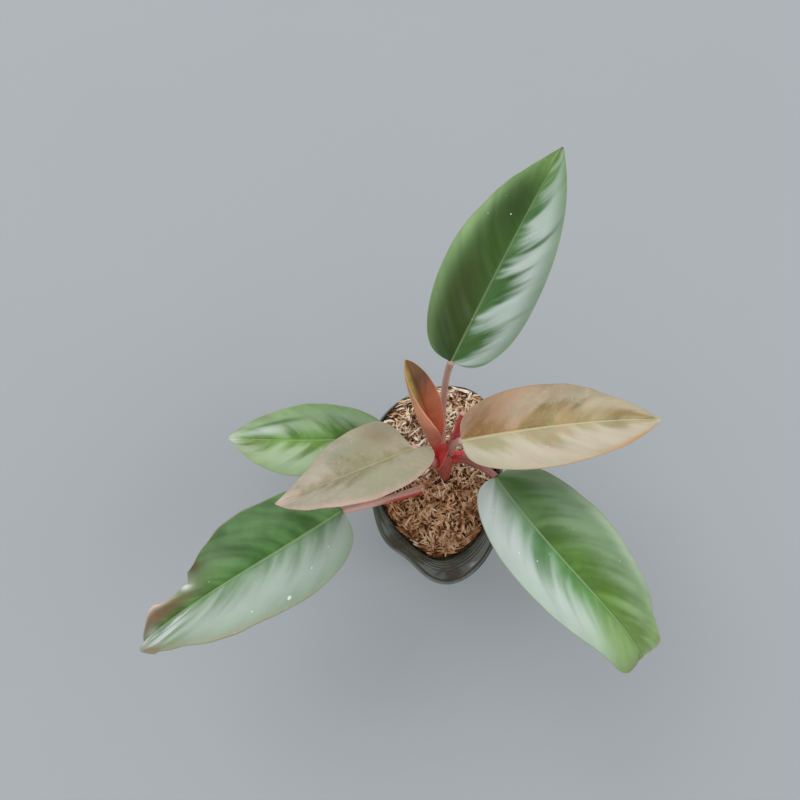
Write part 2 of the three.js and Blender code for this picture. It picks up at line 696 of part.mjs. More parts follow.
for (const leaf of LEAVES) {
  const bladeLook = { colour: leaf.bladeColour, roughness: BLADE_ROUGHNESS };
  const blade = part(`blade_${leaf.name}`, bladeGeometry(leaf), bladeLook);
  blade.position.set(...leaf.foot);
  blade.rotation.z = radians(leaf.azimuth);
  blades.add(blade);
  const bladeCutter = toSolid(bladeGeometry(leaf, SEAT_GAP).applyMatrix4(bladeMatrix(leaf)));
  const petiole = cutBy(toSolid(petioleGeometry(leaf)), [...cutters, bladeCutter]);
  const petioleLook = { colour: leaf.petioleColour, roughness: PETIOLE_ROUGHNESS };
  petioles.add(part(`petiole_${leaf.name}`, toGeometry(petiole), petioleLook));
  cutters.push(toSolid(petioleGeometry(leaf, SEAT_GAP)));
}

const youngBlade = toSolid(bladeGeometry(NEW_LEAF).applyMatrix4(bladeMatrix(NEW_LEAF)));
const newLeaf = cutBy(youngBlade.add(stalkSolid(NEW_LEAF_STALK)), cutters);
cutters.push(stalkSolid(NEW_LEAF_STALK, SEAT_GAP));
cutters.push(toSolid(bladeGeometry(NEW_LEAF, SEAT_GAP).applyMatrix4(bladeMatrix(NEW_LEAF))));

const cutStalk = cutBy(stalkSolid(CUT_STALK), cutters);
cutters.push(stalkSolid(CUT_STALK, SEAT_GAP));

const scale = cutBy(toSolid(bladeGeometry(SCALE).applyMatrix4(bladeMatrix(SCALE))), cutters);

const plant = new THREE.Group();
plant.add(part('stem', toGeometry(stemSolid()), FINISHES.stem));
plant.add(petioles, blades);
plant.add(part('new_leaf', toGeometry(newLeaf), FINISHES.newLeaf));
plant.add(part('bud_scale', toGeometry(scale), FINISHES.scale));
plant.add(part('cut_stalk', toGeometry(cutStalk), FINISHES.cutStalk));

const potted = new THREE.Group();
potted.add(part('pot', potGeometry(), FINISHES.pot));
potted.add(part('potting_mix', toGeometry(cutBy(mixSolid(), [stemCutter])), FINISHES.pottingMix));
potted.add(part('mulch', toGeometry(cutBy(mulchSolid(), cutters)), FINISHES.mulch));

const group = new THREE.Group();
group.add(potted, plant);

export default group;
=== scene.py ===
"""A potted philodendron: six spread leaves and a rolled young one in a soft nursery pot with husk mulch."""

import json
import math

import bmesh
import bpy
import numpy as np
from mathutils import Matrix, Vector, noise

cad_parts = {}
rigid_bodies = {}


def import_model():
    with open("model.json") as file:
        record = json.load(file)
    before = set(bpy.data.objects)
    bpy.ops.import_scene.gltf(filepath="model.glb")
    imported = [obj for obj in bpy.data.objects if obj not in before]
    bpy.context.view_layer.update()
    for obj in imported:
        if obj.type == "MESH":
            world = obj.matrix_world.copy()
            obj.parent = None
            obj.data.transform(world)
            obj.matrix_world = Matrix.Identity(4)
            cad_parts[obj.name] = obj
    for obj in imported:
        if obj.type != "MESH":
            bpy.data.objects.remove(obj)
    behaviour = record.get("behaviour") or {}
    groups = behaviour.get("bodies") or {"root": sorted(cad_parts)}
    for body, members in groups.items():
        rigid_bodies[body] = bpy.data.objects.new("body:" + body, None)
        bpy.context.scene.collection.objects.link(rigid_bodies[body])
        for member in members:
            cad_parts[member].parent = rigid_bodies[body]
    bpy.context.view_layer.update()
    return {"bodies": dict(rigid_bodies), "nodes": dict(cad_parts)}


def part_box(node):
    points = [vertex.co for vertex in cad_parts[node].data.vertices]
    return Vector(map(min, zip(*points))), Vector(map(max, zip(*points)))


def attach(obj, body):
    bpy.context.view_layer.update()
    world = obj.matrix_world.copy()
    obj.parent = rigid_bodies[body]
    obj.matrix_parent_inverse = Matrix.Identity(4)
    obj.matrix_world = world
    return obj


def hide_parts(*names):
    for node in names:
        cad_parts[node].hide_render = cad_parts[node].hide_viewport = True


bl_info = {
    "name": "Potted Philodendron",
    "version": (1, 0, 0),
    "blender": (4, 5, 0),
    "location": "View3D > Sidebar > Philodendron",
    "description": "Builds a potted philodendron with its leaves, crown, nursery pot and husk mulch",
    "category": "Add Mesh",
}

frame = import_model()
BODY = next(iter(frame["bodies"]))

# Shapes below are written in millimetres and degrees, and meshes are made in metres.
MM = 0.001

# The pot's squeezed outline: an egg and an oval about one axis, with dents (where, width, how far out)
SQUEEZE_AXIS = -86
POT_SIDES = 220
LIP_WIDTH = 1.2
LIP_DEPTH = 3.5
BASE_CHAMFER = 2.5
POT_FLOOR = 2
# How late the wall flares to the rim, at the back and at the front, and where one turns into the other
FLARE_BACK = 1.3
FLARE_FRONT = 6
FLARE_SPAN = (-0.2, 0.6)
RIM_EGG = 6.3
BASE_EGG = 2
BASE_OVAL = 3
RIM_DENTS = [(-86, 22, 4), (-110, 16, -6), (64, 20, 6.5), (114, 35, -6.5)]
BASE_DENTS = [(-135, 22, -5)]
DRAIN_HOLES = 6
DRAIN_HOLE_RADIUS = 4
DRAIN_CIRCLE_RADIUS = 25
DRAIN_HOLE_SIDES = 24
RIBS_BELOW_LIP = (94.4, 92.2, 90.0, 87.8)
RIB_HEIGHT = 0.45
RIB_WIDTH = 0.55
RIBBED_FROM = 86
PLAIN_UP_TO = 84.5

# The mulch bed
MULCH_BOTTOM = 74
MULCH_LEVEL = 90.8
MULCH_SLOPE = 0.13
MULCH_RELIEF = 0.9
# The loose husks are heaped up towards the back: how high, where the heap begins and ends, and its turn
HEAP = 2.4
HEAP_SPAN = (-4, 34)
HEAP_TURN = 0.45
# A small mound of husks over the foot of the front left petiole: x, y, reach and height
MOUND = (-7, -4, 8.5, 5.2)
MULCH_GAP = 0.6
# The bed under the husks: its second ring's height, how far its top lies under the mulch's, and the way
# to the wall that its two middle points carry
BED_SIDES = 160
BED_RINGS = 46
BED_WAIST = 80
BED_SINK = 0.8
BED_MIDDLE = 40
# No husk starts this close to the stem's axis or to the wall
STEM_SPOT = (6.6, 6.8)
STEM_CLEARANCE = 5.5
WALL_CLEARANCE = 1.4
# Husks and straws of unit length: width, thickness, bend, twist, and their steps and sides
CHIP_SHAPES = [
    (0.15, 0.03, 0.07, 0.9, 4, 4), (0.12, 0.035, -0.05, -0.7, 4, 4), (0.2, 0.025, 0.05, 0.4, 4, 4),
    (0.14, 0.03, 0.12, -1.3, 4, 4),
]
STRAW_SHAPES = [
    (0.05, 0.025, 0.1, 1.2, 4, 3), (0.035, 0.02, -0.16, 0.8, 5, 3), (0.045, 0.02, 0.2, -1.4, 5, 3),
]
PER_SQUARE_CM = 1e4

# The stem
STEM_AXIS = [(6, 6, 52), (6.3, 6, 76), (6.6, 6.8, 92), (5.8, 9, 104), (4.6, 12.5, 115), (4, 15, 120)]
STEM_RADII = [4.4, 3.7, 3.1, 5.2, 6.6, 4.6]
# Points along the paths of the stem and the petioles, of a root, of the stub and of the young stalk
PATH_STEPS = 60
ROOT_STEPS = 24
STUB_STEPS = 40
YOUNG_STEPS = 30
ROOT_COUNT = 5
ROOT_RADIUS = (2.1, 1)
ROOT_SPREAD = 27
ROOT_TOP = 66
ROOT_DEPTH = 34

# Blades. Each half's columns are shares of its width, closer together at the midrib and the margin.
LEAF_COLUMNS = [0, 0.012, 0.026, 0.043, 0.065, 0.095, *np.linspace(0.135, 0.93, 17), 0.96, 0.985, 1]
YOUNG_COLUMNS = np.linspace(0, 1, 27)
SCALE_COLUMNS = np.linspace(0, 1, 11)
BLADE_ROWS = 150
YOUNG_ROWS = 110
SCALE_ROWS = 40
STRIP_ROWS = 30
BLADE_THICKNESS = 0.6
MARGIN_THICKNESS = 0.4
FOOT_HALF_WIDTH = 2
TIP_HALF_WIDTH = 0.4
# As shares of the length: where a lobe reaches furthest, the rounded end, where tip_flat and tip_reach
# begin, and how abruptly the tear opens. A row leans by this power of its share of the half's width.
LOBE_REACH = 0.07
TIP_ROUND = 0.045
TIP_START = 0.84
TEAR_WIDTH = 0.003
LEAN_CURVE = 1.6
# Steps along the midline
STATIONS = 160
# The margin's frill: its height and count beside those of the wide ripples
FRILL_HEIGHT = 0.35
FRILL_RATE = 2.6
# The groove over the midrib and the ridge under it: half widths at the foot and at the tip
GROOVE_DEPTH = 0.35
GROOVE_WIDTH = (1.1, 0.45)
RIDGE_WIDTH = (1.5, 0.5)
# How far along the blade a side vein runs on its way to the margin: evenly, and curving forward
LATERAL_REACH = 0.1
LATERAL_CURVE = 0.09
# The soft folds along the side veins: (how close together, height, shift)
RELIEF_WAVES = [(0.5, 0.8, 0.0), (0.81, 0.5, 1.3), (1.33, 0.2, 4.1)]
# The wrinkles' turn in radians across a half and along the whole blade
CREASES_ACROSS = 20
CREASES_ALONG = 52

# What every blade starts from; its own entry below changes some of it. Left and right are seen along
# the azimuth, from above, in millimetres and degrees. Where two values stand for one size, they are
# the one at the foot and the one at the tip, or the one of the left half and the one of the right.
# The midrib leaves foot, turns sideways by sweep and goes from one pitch to the other, later where
# bend is above 1. Rise and fall are the powers of a half's outline, reach leans its rows forward, and
# lobe draws them back beside the foot, with full_lobe for a rounder left one. Fold is how steeply a
# half leaves the midrib and cup how far it arches. Wave and waves are the height and count of the
# margin's ripples. Swells are (along, reach, outward), and the tear, the curl and the wrinkles (along,
# reach, height). Near the tip tip_flat opens the fold and tip_reach draws a half out.
BLADE_BASICS = dict(
    bend=1, lobe=(0.02, 0.02), cup=(20, 20), rise=0.5, fall=1.05, reach=0.07, relief=1, rib_depth=1.7,
    tip_flat=0, tip_reach=(0, 0), swells_left=(), swells_right=(), petiole_radius=(3.2, 2.2), wing=0,
    banding=(0.5, 0.5), band_rate=0.85, rib_width=0.95, rib_strength=0.7, silver=(0.1, 0.5, 1),
    outer=0.3, bare_tip=0,
)


def blade_values(**own):
    """A blade's own values over the basic ones."""
    return {**BLADE_BASICS, **own}


# A half's colours run from foot to tip. Banding is how strongly the dark bands along the side veins
# show on each half. The sheen colour with its strength on each half is painted sheen, a pale reflection
# of the light painted into the colour; its spread says where it starts and is full between midrib and
# margin and how ragged it is, and outer and bare_tip thin it at the margin and at the tip.
# Patches are (along, across, reach along, reach across, colour, strength) and spots (along, across,
# size), with the left half above zero. Sheath is the colour of the petiole's foot, and red_edge says
# where round the petiole its red edge lies, in radians.
LEAVES = {
    "back": blade_values(
        foot=(4, 42, 200), azimuth=60, sweep=1, pitch=(32, 8), length=139, left=28, right=26,
        fold=(22, 12), roll=(13, -8), wave=0.8, waves=3.2, laterals=13, seed=1,
        swells_right=[(0.15, 0.12, 1.5)],
        petiole=[(2.8, 17, 114), (3.8, 33, 124), (1, 46, 161)], petiole_radius=(3.2, 2.1),
        stalk=("#d08c7c", "#c09c90"),
        left_colours=["#2b450e", "#385814", "#345412", "#4c762c"],
        right_colours=["#4c7438", "#3c662a", "#447034", "#5e8a46"],
        rib="#72885a", margin="#7f8f62", underside="#6d5a4a", banding=(0.35, 0.6), band_rate=1.45,
        rib_width=0.8,
        bloom="#bcc6c2", bloom_left=0.03, bloom_right=0.72, silver=(0.05, 0.7, 2.3), outer=0.6,
        bare_tip=0.5,
        patches=[(0.99, 0.0, 0.03, 0.9, "#a59c86", 0.7), (0.45, 0.97, 0.4, 0.2, "#8aa874", 0.75),
                 (0.27, 0.42, 0.15, 0.28, "#333e14", 0.85), (0.68, 0.35, 0.14, 0.3, "#263c12", 0.8),
                 (0.93, 0.4, 0.1, 0.5, "#7f9c60", 0.5)],
        spots=[(0.62, 0.35, 0.5), (0.55, 0.78, 0.3)],
    ),
    "right": blade_values(
        foot=(11, 5, 172), azimuth=4, sweep=7, pitch=(22, -28), length=127, left=24, right=22,
        fold=(15, 12), roll=(18, -13), wave=0.8, waves=2.6, laterals=11, seed=2,
        petiole=[(9, 16, 115), (7.5, 15.5, 136), (8, 8.5, 158)], stalk=("#c27468", "#c8a094"),
        left_colours=["#b07c4c", "#b08c62", "#a89a6e", "#968650"],
        right_colours=["#c2bc98", "#bcae8e", "#b4a888", "#ac9c6c"],
        rib="#c4bd92", margin="#b08652", underside="#8c5a4c", mottle=("#a0a476", "#b89478"),
        banding=(0.7, 0.5),
        bloom="#c6bcb0", bloom_left=0.4, bloom_right=0.5, silver=(0.1, 0.6, 2),
        patches=[(0.99, 0.0, 0.03, 0.9, "#d9cdb4", 0.8), (0.75, -0.98, 0.22, 0.1, "#b07c3c", 0.7),
                 (0.1, 0.6, 0.12, 0.5, "#8a5f3a", 0.6), (0.8, 0.35, 0.16, 0.2, "#8c6e3e", 0.7),
                 (0.42, 0.25, 0.2, 0.14, "#a89468", 0.5)],
        spots=[(0.35, -0.5, 0.3)],
    ),
    "front_right": blade_values(
        foot=(36, -5, 132), azimuth=-62, sweep=21, pitch=(12, -78), bend=3.2, length=150, left=33.5,
        right=29, fold=(22, 24), roll=(4, 6), wave=1.4, waves=3.4, laterals=12, seed=3,
        swells_left=[(0.72, 0.1, -2.3), (0.92, 0.13, 5)], swells_right=[(0.84, 0.11, 6), (0.99, 0.05, 3)],
        tip_flat=10, tip_reach=(0.17, 0),
        petiole=[(7, 12.5, 114), (17, 13, 118), (26, 7, 127)], petiole_radius=(2.9, 2.4),
        stalk=("#94443e", "#9c5c52"), sheath="#cc3234",
        left_colours=["#527c3c", "#547e34", "#6a9040", "#88a260"],
        right_colours=["#6c9468", "#62905e", "#68964e", "#729a48"],
        rib="#86a070", margin="#8f9a70", underside="#6a6048", banding=(0.6, 0.55), band_rate=1.2,
        rib_width=1.2,
        bloom="#c2cac8", bloom_left=0.22, bloom_right=0.78, silver=(0.12, 0.75, 1.1), outer=0.2,
        bare_tip=0.75,
        patches=[(0.92, -0.9, 0.1, 0.6, "#6e6a40", 0.9), (0.45, 0.96, 0.3, 0.1, "#a9b8a4", 0.6),
                 (0.78, -0.5, 0.12, 0.5, "#7f9f5a", 0.8), (0.12, -0.6, 0.14, 0.5, "#c4ccca", 0.6),
                 (0.1, 0.25, 0.12, 0.4, "#3c5c28", 0.5), (0.94, -0.2, 0.04, 0.3, "#5a6a2c", 0.7)],
        spots=[(0.12, -0.6, 0.45), (0.29, -0.62, 0.5), (0.36, -0.45, 0.45), (0.38, -0.15, 0.3)],
    ),
    "front_left": blade_values(
        foot=(-61, -26, 128), azimuth=-145, sweep=-7, pitch=(6, -60), bend=2.6, length=156.5, left=36,
        right=30.5, fold=(22, 24), roll=(-11, 43), wave=1.4, waves=3.6, laterals=12, seed=4,
        swells_left=[(0.5, 0.12, 1.2), (0.85, 0.12, 1)],
        swells_right=[(0.1, 0.07, 2), (0.27, 0.1, 1), (0.64, 0.12, -9), (0.93, 0.11, 8)], tip_flat=-8,
        tip_reach=(0, 0.13), tear=(0.575, 0.055, 6.5), curl=(0.83, 0.1, 3.2), wrinkles=(0.78, 0.1, 1),
        petiole=[(5, 6, 87), (-8, -2, 88), (-32, -16, 117)], petiole_radius=(3.2, 2.4), wing=1.2,
        stalk=("#cc9484", "#cca094"), red_edge=3.3,
        left_colours=["#688a64", "#72926e", "#78966c", "#8f9c84"],
        right_colours=["#5a8842", "#50803a", "#4e7a34", "#4c6c24"],
        rib="#86a070", margin="#8a8562", underside="#6a6048", banding=(0.45, 0.85), band_rate=1.2,
        rib_width=1.25,
        bloom="#b9c1be", bloom_left=0.55, bloom_right=0.08, silver=(-0.1, 0.6, 1.3), outer=0.45,
        patches=[(0.81, -0.55, 0.19, 0.32, "#6a5232", 1.0), (0.84, -0.95, 0.16, 0.16, "#d0b6aa", 1.0),
                 (0.86, -0.6, 0.018, 0.08, "#a8583a", 0.4), (0.8, 0.93, 0.12, 0.13, "#80684a", 0.9),
                 (0.93, 0.35, 0.07, 0.5, "#c0c4b8", 0.85), (0.68, 0.72, 0.05, 0.3, "#5f8048", 0.6),
                 (0.55, -0.95, 0.03, 0.2, "#4c4020", 0.95), (0.61, -0.9, 0.022, 0.2, "#ccd2c8", 0.9),
                 (0.5, 0.97, 0.3, 0.08, "#8f8a72", 0.5)],
        spots=[(0.12, 0.5, 0.45), (0.2, 0.62, 0.45), (0.29, 0.85, 1.1), (0.41, 0.78, 0.4)],
    ),
    "left": blade_values(
        foot=(-17, 2, 168), azimuth=-150, sweep=-15, pitch=(22, -25), length=88, left=28, right=33,
        fold=(15, 12), roll=(26, 44), lobe=(0.1, 0.06), full_lobe=0.065, wave=0.6, waves=2.2, laterals=8,
        seed=5,
        swells_left=[(0.1, 0.08, 1)], swells_right=[(0.07, 0.1, 4.5)],
        petiole=[(2, 10, 108), (-6, 6, 136), (-12.5, 2.8, 157)], stalk=("#c07468", "#c89c90"),
        left_colours=["#8a825e", "#938c6c", "#9a9076", "#b49a88"],
        right_colours=["#8f8862", "#9b9474", "#a69a80", "#b89e8c"],
        rib="#b0ae88", margin="#b8968a", underside="#93604f", mottle=("#848c68", "#b89a8a"),
        banding=(0.5, 0.6), rib_strength=0.4,
        bloom="#b9b4a8", bloom_left=0.35, bloom_right=0.4, silver=(0, 0.5, 2), outer=0.3,
        patches=[(0.97, 0.0, 0.06, 0.9, "#c9b3a6", 0.7), (0.5, 0.96, 0.35, 0.08, "#c4a498", 0.6),
                 (0.35, -0.5, 0.2, 0.3, "#7f8060", 0.5), (0.15, -0.6, 0.12, 0.4, "#7c6a4c", 0.5),
                 (0.3, 0.5, 0.15, 0.3, "#8c9068", 0.4)],
        spots=[(0.5, -0.35, 0.3)],
    ),
    "back_left": blade_values(
        foot=(-31, 20, 138), azimuth=-168, sweep=-24, pitch=(20, -22), length=109, left=25, right=23,
        fold=(22, 15), roll=(29, -28), wave=0.8, waves=2.8, laterals=10, seed=6,
        petiole=[(1, 12, 104), (-9, 9, 111), (-20, 14, 128)], stalk=("#c27468", "#c8a094"),
        left_colours=["#618838", "#6a9040", "#769a48", "#849858"],
        right_colours=["#568434", "#62903c", "#72984a", "#8aa870"],
        rib="#9ab07c", margin="#829060", underside="#6f6a4c", banding=(0.6, 0.75), band_rate=1.2,
        rib_strength=0.45,
        bloom="#b9c5b4", bloom_left=0.45, bloom_right=0.35, silver=(0.05, 0.6, 1.6), outer=0.4,
        patches=[(0.99, 0.0, 0.08, 0.9, "#ccd6c2", 1.0), (0.64, -0.62, 0.16, 0.07, "#41602a", 0.85),
                 (0.74, -0.38, 0.14, 0.16, "#b4c0b4", 0.8)],
        spots=[(0.4, 0.3, 0.3)],
    ),
}

BRONZE_LEAVES = ("right", "left")

# The young leaf is still rolled: its left half curls over inward. It grows from a short stalk.
YOUNG_LEAF = blade_values(
    foot=(-2, 18, 126), azimuth=131, sweep=28, pitch=(77, 74), length=98, left=18, right=11,
    fold=(-2, 4), cup=(12, 0), fold_left=(2, -28), cup_left=(-235, -95), roll=(-13, -18), lobe=(0, 0),
    wave=0, waves=0, rise=0.55, fall=0.83, reach=0.04, laterals=12, seed=7, rib_depth=0.9, relief=0.2,
    stalk_path=[(2, 15, 117), (1, 16.5, 121), (-1, 17.5, 126), (-2.5, 19, 131)], stalk_radius=(3.6, 1.9),
)
BUD_SCALE = blade_values(
    foot=(-1.7, 10, 116), azimuth=32, sweep=0, pitch=(68, 58), length=24, left=4, right=8,
    fold=(12, 25), cup=(-40, -40), roll=(0, 0), lobe=(0, 0), wave=0, waves=0, rise=0.35, fall=0.6,
    reach=0.05, laterals=0, seed=8, rib_depth=0.4, relief=0,
)
SHEATH_STRIP = {
    **BUD_SCALE, "foot": (5, 14.6, 117), "azimuth": 5, "pitch": (14, -4), "length": 15, "left": 1.7,
    "right": 1.3, "fold": (10, 10), "cup": (50, 50),
}
CUT_STALK = [(7, 13, 98), (11, 25, 101), (14.5, 32, 107), (18.8, 41.5, 126)]
CUT_STALK_RADIUS = (3.1, 2.9)


class PotSettings(bpy.types.PropertyGroup):
    height: bpy.props.FloatProperty(
        name="Height", description="From the base to the rim", unit="LENGTH",
        default=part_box("pot")[1].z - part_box("pot")[0].z)
    rim_radius: bpy.props.FloatProperty(
        name="Rim radius", description="Mean radius of the rim", unit="LENGTH", default=0.0585)
    rim_oval: bpy.props.FloatProperty(
        name="Rim squeeze", description="How far the rim is squeezed out of round", unit="LENGTH",
        default=0.0118)
    base_radius: bpy.props.FloatProperty(
        name="Base radius", description="Mean radius of the base", unit="LENGTH", default=0.04)
    wall: bpy.props.FloatProperty(
        name="Wall", description="Thickness of the plastic", unit="LENGTH", default=0.0012)
    buckle: bpy.props.FloatProperty(
        name="Buckle", description="Depth of the soft folds in the squeezed wall", unit="LENGTH",
        default=0.0005)
    colour: bpy.props.FloatVectorProperty(
        name="Colour", description="Colour of the plastic", subtype="COLOR", size=3,
        default=(0.05, 0.062, 0.05))


class MulchSettings(bpy.types.PropertyGroup):
    husks: bpy.props.FloatProperty(
        name="Husks", description="Husk chips on each square centimetre", default=21)
    straws: bpy.props.FloatProperty(
        name="Straws", description="Thin straws on each square centimetre", default=13)
    husk_length: bpy.props.FloatProperty(
        name="Husk length", description="Length of a middling husk", unit="LENGTH", default=0.007)
    straw_length: bpy.props.FloatProperty(
        name="Straw length", description="Length of a middling straw", unit="LENGTH", default=0.0082)
    seed: bpy.props.IntProperty(name="Seed", description="Draws another layout", default=7)


class LeafSettings(bpy.types.PropertyGroup):
    vein_depth: bpy.props.FloatProperty(
        name="Vein depth", description="How deep the side veins sink", unit="LENGTH", default=0.00028)
    thickness: bpy.props.FloatProperty(
        name="Thickness", description="Thickness of a blade", unit="LENGTH",
        default=BLADE_THICKNESS * MM)
    roughness: bpy.props.FloatProperty(
        name="Roughness", description="Roughness of the leaf's skin", default=0.4, min=0, max=1)
    groove: bpy.props.FloatProperty(
        name="Petiole groove", description="Depth of the groove as a share of the radius", default=0.16)


class StageSettings(bpy.types.PropertyGroup):
    floor: bpy.props.FloatVectorProperty(
        name="Floor", description="Colour of the floor", subtype="COLOR", size=3,
        default=(0.335, 0.357, 0.371))
    sky: bpy.props.FloatProperty(name="Sky", description="Strength of the even light", default=0.84)
    key: bpy.props.FloatProperty(
        name="Key light", description="Power of the large soft light behind on the left", subtype="POWER",
        default=1520.0)
    fill: bpy.props.FloatProperty(
        name="Fill light", description="Power of the low soft light on the right", subtype="POWER",
        default=1050.0)


# Arithmetic that works alike on numbers, arrays and node sockets

class Wire:
    """A node's output that takes arithmetic: each sign adds a Math node to its tree."""

    def __init__(self, tree, socket):
        self.tree = tree
        self.socket = socket

    def __add__(self, other):
        return math_node("ADD", self, other)

    def __sub__(self, other):
        return math_node("SUBTRACT", self, other)

    def __rsub__(self, other):
        return math_node("SUBTRACT", other, self)

    def __mul__(self, other):
        return math_node("MULTIPLY", self, other)

    def __truediv__(self, other):
        return math_node("DIVIDE", self, other)

    def __pow__(self, other):
        return math_node("POWER", self, other)

    def __abs__(self):
        return math_node("ABSOLUTE", self)

    __radd__ = __add__
    __rmul__ = __mul__


def connect(value, socket):
    """Links a wire to a socket, or sets the socket to a plain value."""
    if isinstance(value, Wire):
        value.tree.links.new(value.socket, socket)
    else:
        socket.default_value = value


def tree_of(*values):
    """The tree that the wires among some values belong to."""
    return next(value.tree for value in values if isinstance(value, Wire))


def add_node(tree, kind, inputs=None, output=0, **fields):
    """Adds a node, sets its fields and inputs, and returns a wire from one output."""
    node = tree.nodes.new(kind)
    for field, value in fields.items():
        setattr(node, field, value)
    for key, value in (inputs or {}).items():
        connect(value, node.inputs[key])
    return Wire(tree, node.outputs[output])


def math_node(operation, *values):
    """Adds a Math node and returns a wire from it."""
    return add_node(tree_of(*values), "ShaderNodeMath", dict(enumerate(values)), operation=operation)


def part_of(wire, axis):
    """One coordinate of a vector."""
    return add_node(wire.tree, "ShaderNodeSeparateXYZ", {"Vector": wire}, axis)


def sine(x):
    return math_node("SINE", x) if isinstance(x, Wire) else np.sin(x)


def cosine(x):
    return math_node("COSINE", x) if isinstance(x, Wire) else np.cos(x)


def exponential(x):
    return math_node("EXPONENT", x) if isinstance(x, Wire) else np.exp(x)


def clamp(x):
    if isinstance(x, Wire):
        return math_node("MAXIMUM", math_node("MINIMUM", x, 1), 0)
    return np.clip(x, 0, 1)


def blend(a, b, share):
    """From a to b by a share."""
    return share * (b - a) + a


def smooth_step(x, low, high):
    """Rises smoothly from 0 at low to 1 at high."""
    share = clamp((x - low) / (high - low))
    return share * share * (3 - share * 2)


def bump(x, centre, width):
    """A smooth hill of height 1 about its centre."""
    return exponential(((x - centre) / width) * ((x - centre) / width) * -1)


# Meshes and pieces

def mesh_object(name, points, faces, attributes=None, smooth=True):
    """Makes a mesh object from points in millimetres and named values for each point."""
    mesh = bpy.data.meshes.new(name)
    mesh.from_pydata((np.asarray(points, float) * MM).tolist(), [], faces)
    for key, values in (attributes or {}).items():
        layer = mesh.attributes.new(key, "FLOAT", "POINT")
        layer.data.foreach_set("value", np.asarray(values, np.float32).ravel())
    mesh.polygons.foreach_set("use_smooth", [smooth] * len(mesh.polygons))
    mesh.update()
    obj = bpy.data.objects.new(name, mesh)
    bpy.context.scene.collection.objects.link(obj)
    return obj


def edit_mesh(mesh, change=None):
    """Makes a change to a mesh, drops the points that no face uses and turns every face outward."""
    shape = bmesh.new()
    shape.from_mesh(mesh)
    if change:
        change(shape)
    loose = [v for v in shape.verts if not v.link_faces]
    bmesh.ops.delete(shape, geom=loose, context="VERTS")
    bmesh.ops.recalc_face_normals(shape, faces=shape.faces)
    shape.to_mesh(mesh)
    shape.free()


def settle(obj, material, slot, *nodes):
    """Gives a finished piece its material and its place in the frame."""
    obj.data.materials.clear()
    obj.data.materials.append(material)
    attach(obj, BODY)
    if nodes:
        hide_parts(*nodes)
    return obj


def join(name, objects):
    """Joins mesh objects into one piece."""
    with bpy.context.temp_override(
            active_object=objects[0], selected_editable_objects=objects, selected_objects=objects):
        bpy.ops.object.join()
    objects[0].name = name
    return objects[0]


def colour_of(code):
    """A linear colour from a #rrggbb code."""
    parts = [int(code[k:k + 2], 16) / 255 for k in (1, 3, 5)]
    return (*(p / 12.92 if p <= 0.04045 else ((p + 0.055) / 1.055) ** 2.4 for p in parts), 1.0)


# Geometry node trees

def geometry_tree(name, inputs):
    """A new tree with named inputs. Returns the tree, a wire for each input and its way out."""
    tree = bpy.data.node_groups.new(name, "GeometryNodeTree")
    tree.interface.new_socket("Geometry", in_out="INPUT", socket_type="NodeSocketGeometry")
    tree.interface.new_socket("Geometry", in_out="OUTPUT", socket_type="NodeSocketGeometry")
    for key, kind in inputs.items():
        tree.interface.new_socket(key, in_out="INPUT", socket_type="NodeSocket" + kind)
    way_in = tree.nodes.new("NodeGroupInput")
    way_out = tree.nodes.new("NodeGroupOutput")
    return tree, {s.name: Wire(tree, s) for s in way_in.outputs if s.name}, way_out.inputs[0]


def own_value(tree, name):
    """A value that the geometry carries for each point."""
    return add_node(tree, "GeometryNodeInputNamedAttribute", {"Name": name}, data_type="FLOAT")


def with_value(geometry, name, value, domain="POINT"):
    """The geometry with one more named value."""
    return add_node(geometry.tree, "GeometryNodeStoreNamedAttribute", {
        "Geometry": geometry, "Name": name, "Value": value}, data_type="FLOAT", domain=domain)


def sweep_grid(sides, steps):
    """A flat grid to wrap: the grid, the place on it, and each point's share of a turn and its row."""
    grid = add_node(sides.tree, "GeometryNodeMeshGrid", {
        "Vertices X": sides + 1, "Vertices Y": steps + 1, "Size X": 1.0, "Size Y": 1.0})
    here = add_node(sides.tree, "GeometryNodeInputPosition")
    return grid, here, part_of(here, "X") + 0.5, (part_of(here, "Y") + 0.5) * steps


def finish_sweep(grid, spot, material, way_out):
    """Moves a grid's points to their spots, and seals the seam and the ends."""
    tree = grid.tree
    placed = add_node(tree, "GeometryNodeSetPosition", {"Geometry": grid, "Position": spot})
    sealed = add_node(tree, "GeometryNodeMergeByDistance", {"Geometry": placed, "Distance": 2e-6})
    smooth = add_node(tree, "GeometryNodeSetShadeSmooth", {"Geometry": sealed})
    finish_tree(smooth, material, way_out)


def finish_tree(geometry, material, way_out):
    """Makes instances real, sets the material and ends the tree."""
    real = add_node(geometry.tree, "GeometryNodeRealizeInstances", {"Geometry": geometry})
    dressed = add_node(geometry.tree, "GeometryNodeSetMaterial", {"Geometry": real, "Material": material})
    connect(dressed, way_out)


def run_tree(source, tree, values, name):
    """Runs a tree on a source object and returns its result as a plain mesh object."""
    modifier = source.modifiers.new(tree.name, "NODES")
    modifier.node_group = tree
    for item in tree.interface.items_tree:
        if item.in_out == "INPUT" and item.name in values:
            modifier[item.identifier] = values[item.name]
    if source.name not in bpy.context.scene.collection.objects:
        bpy.context.scene.collection.objects.link(source)
    graph = bpy.context.evaluated_depsgraph_get()
    mesh = bpy.data.meshes.new_from_object(source.evaluated_get(graph), depsgraph=graph)
    source.modifiers.remove(modifier)
    bpy.data.objects.remove(source)
    mesh.name = name
    obj = bpy.data.objects.new(name, mesh)
    bpy.context.scene.collection.objects.link(obj)
    return obj


# Shaders

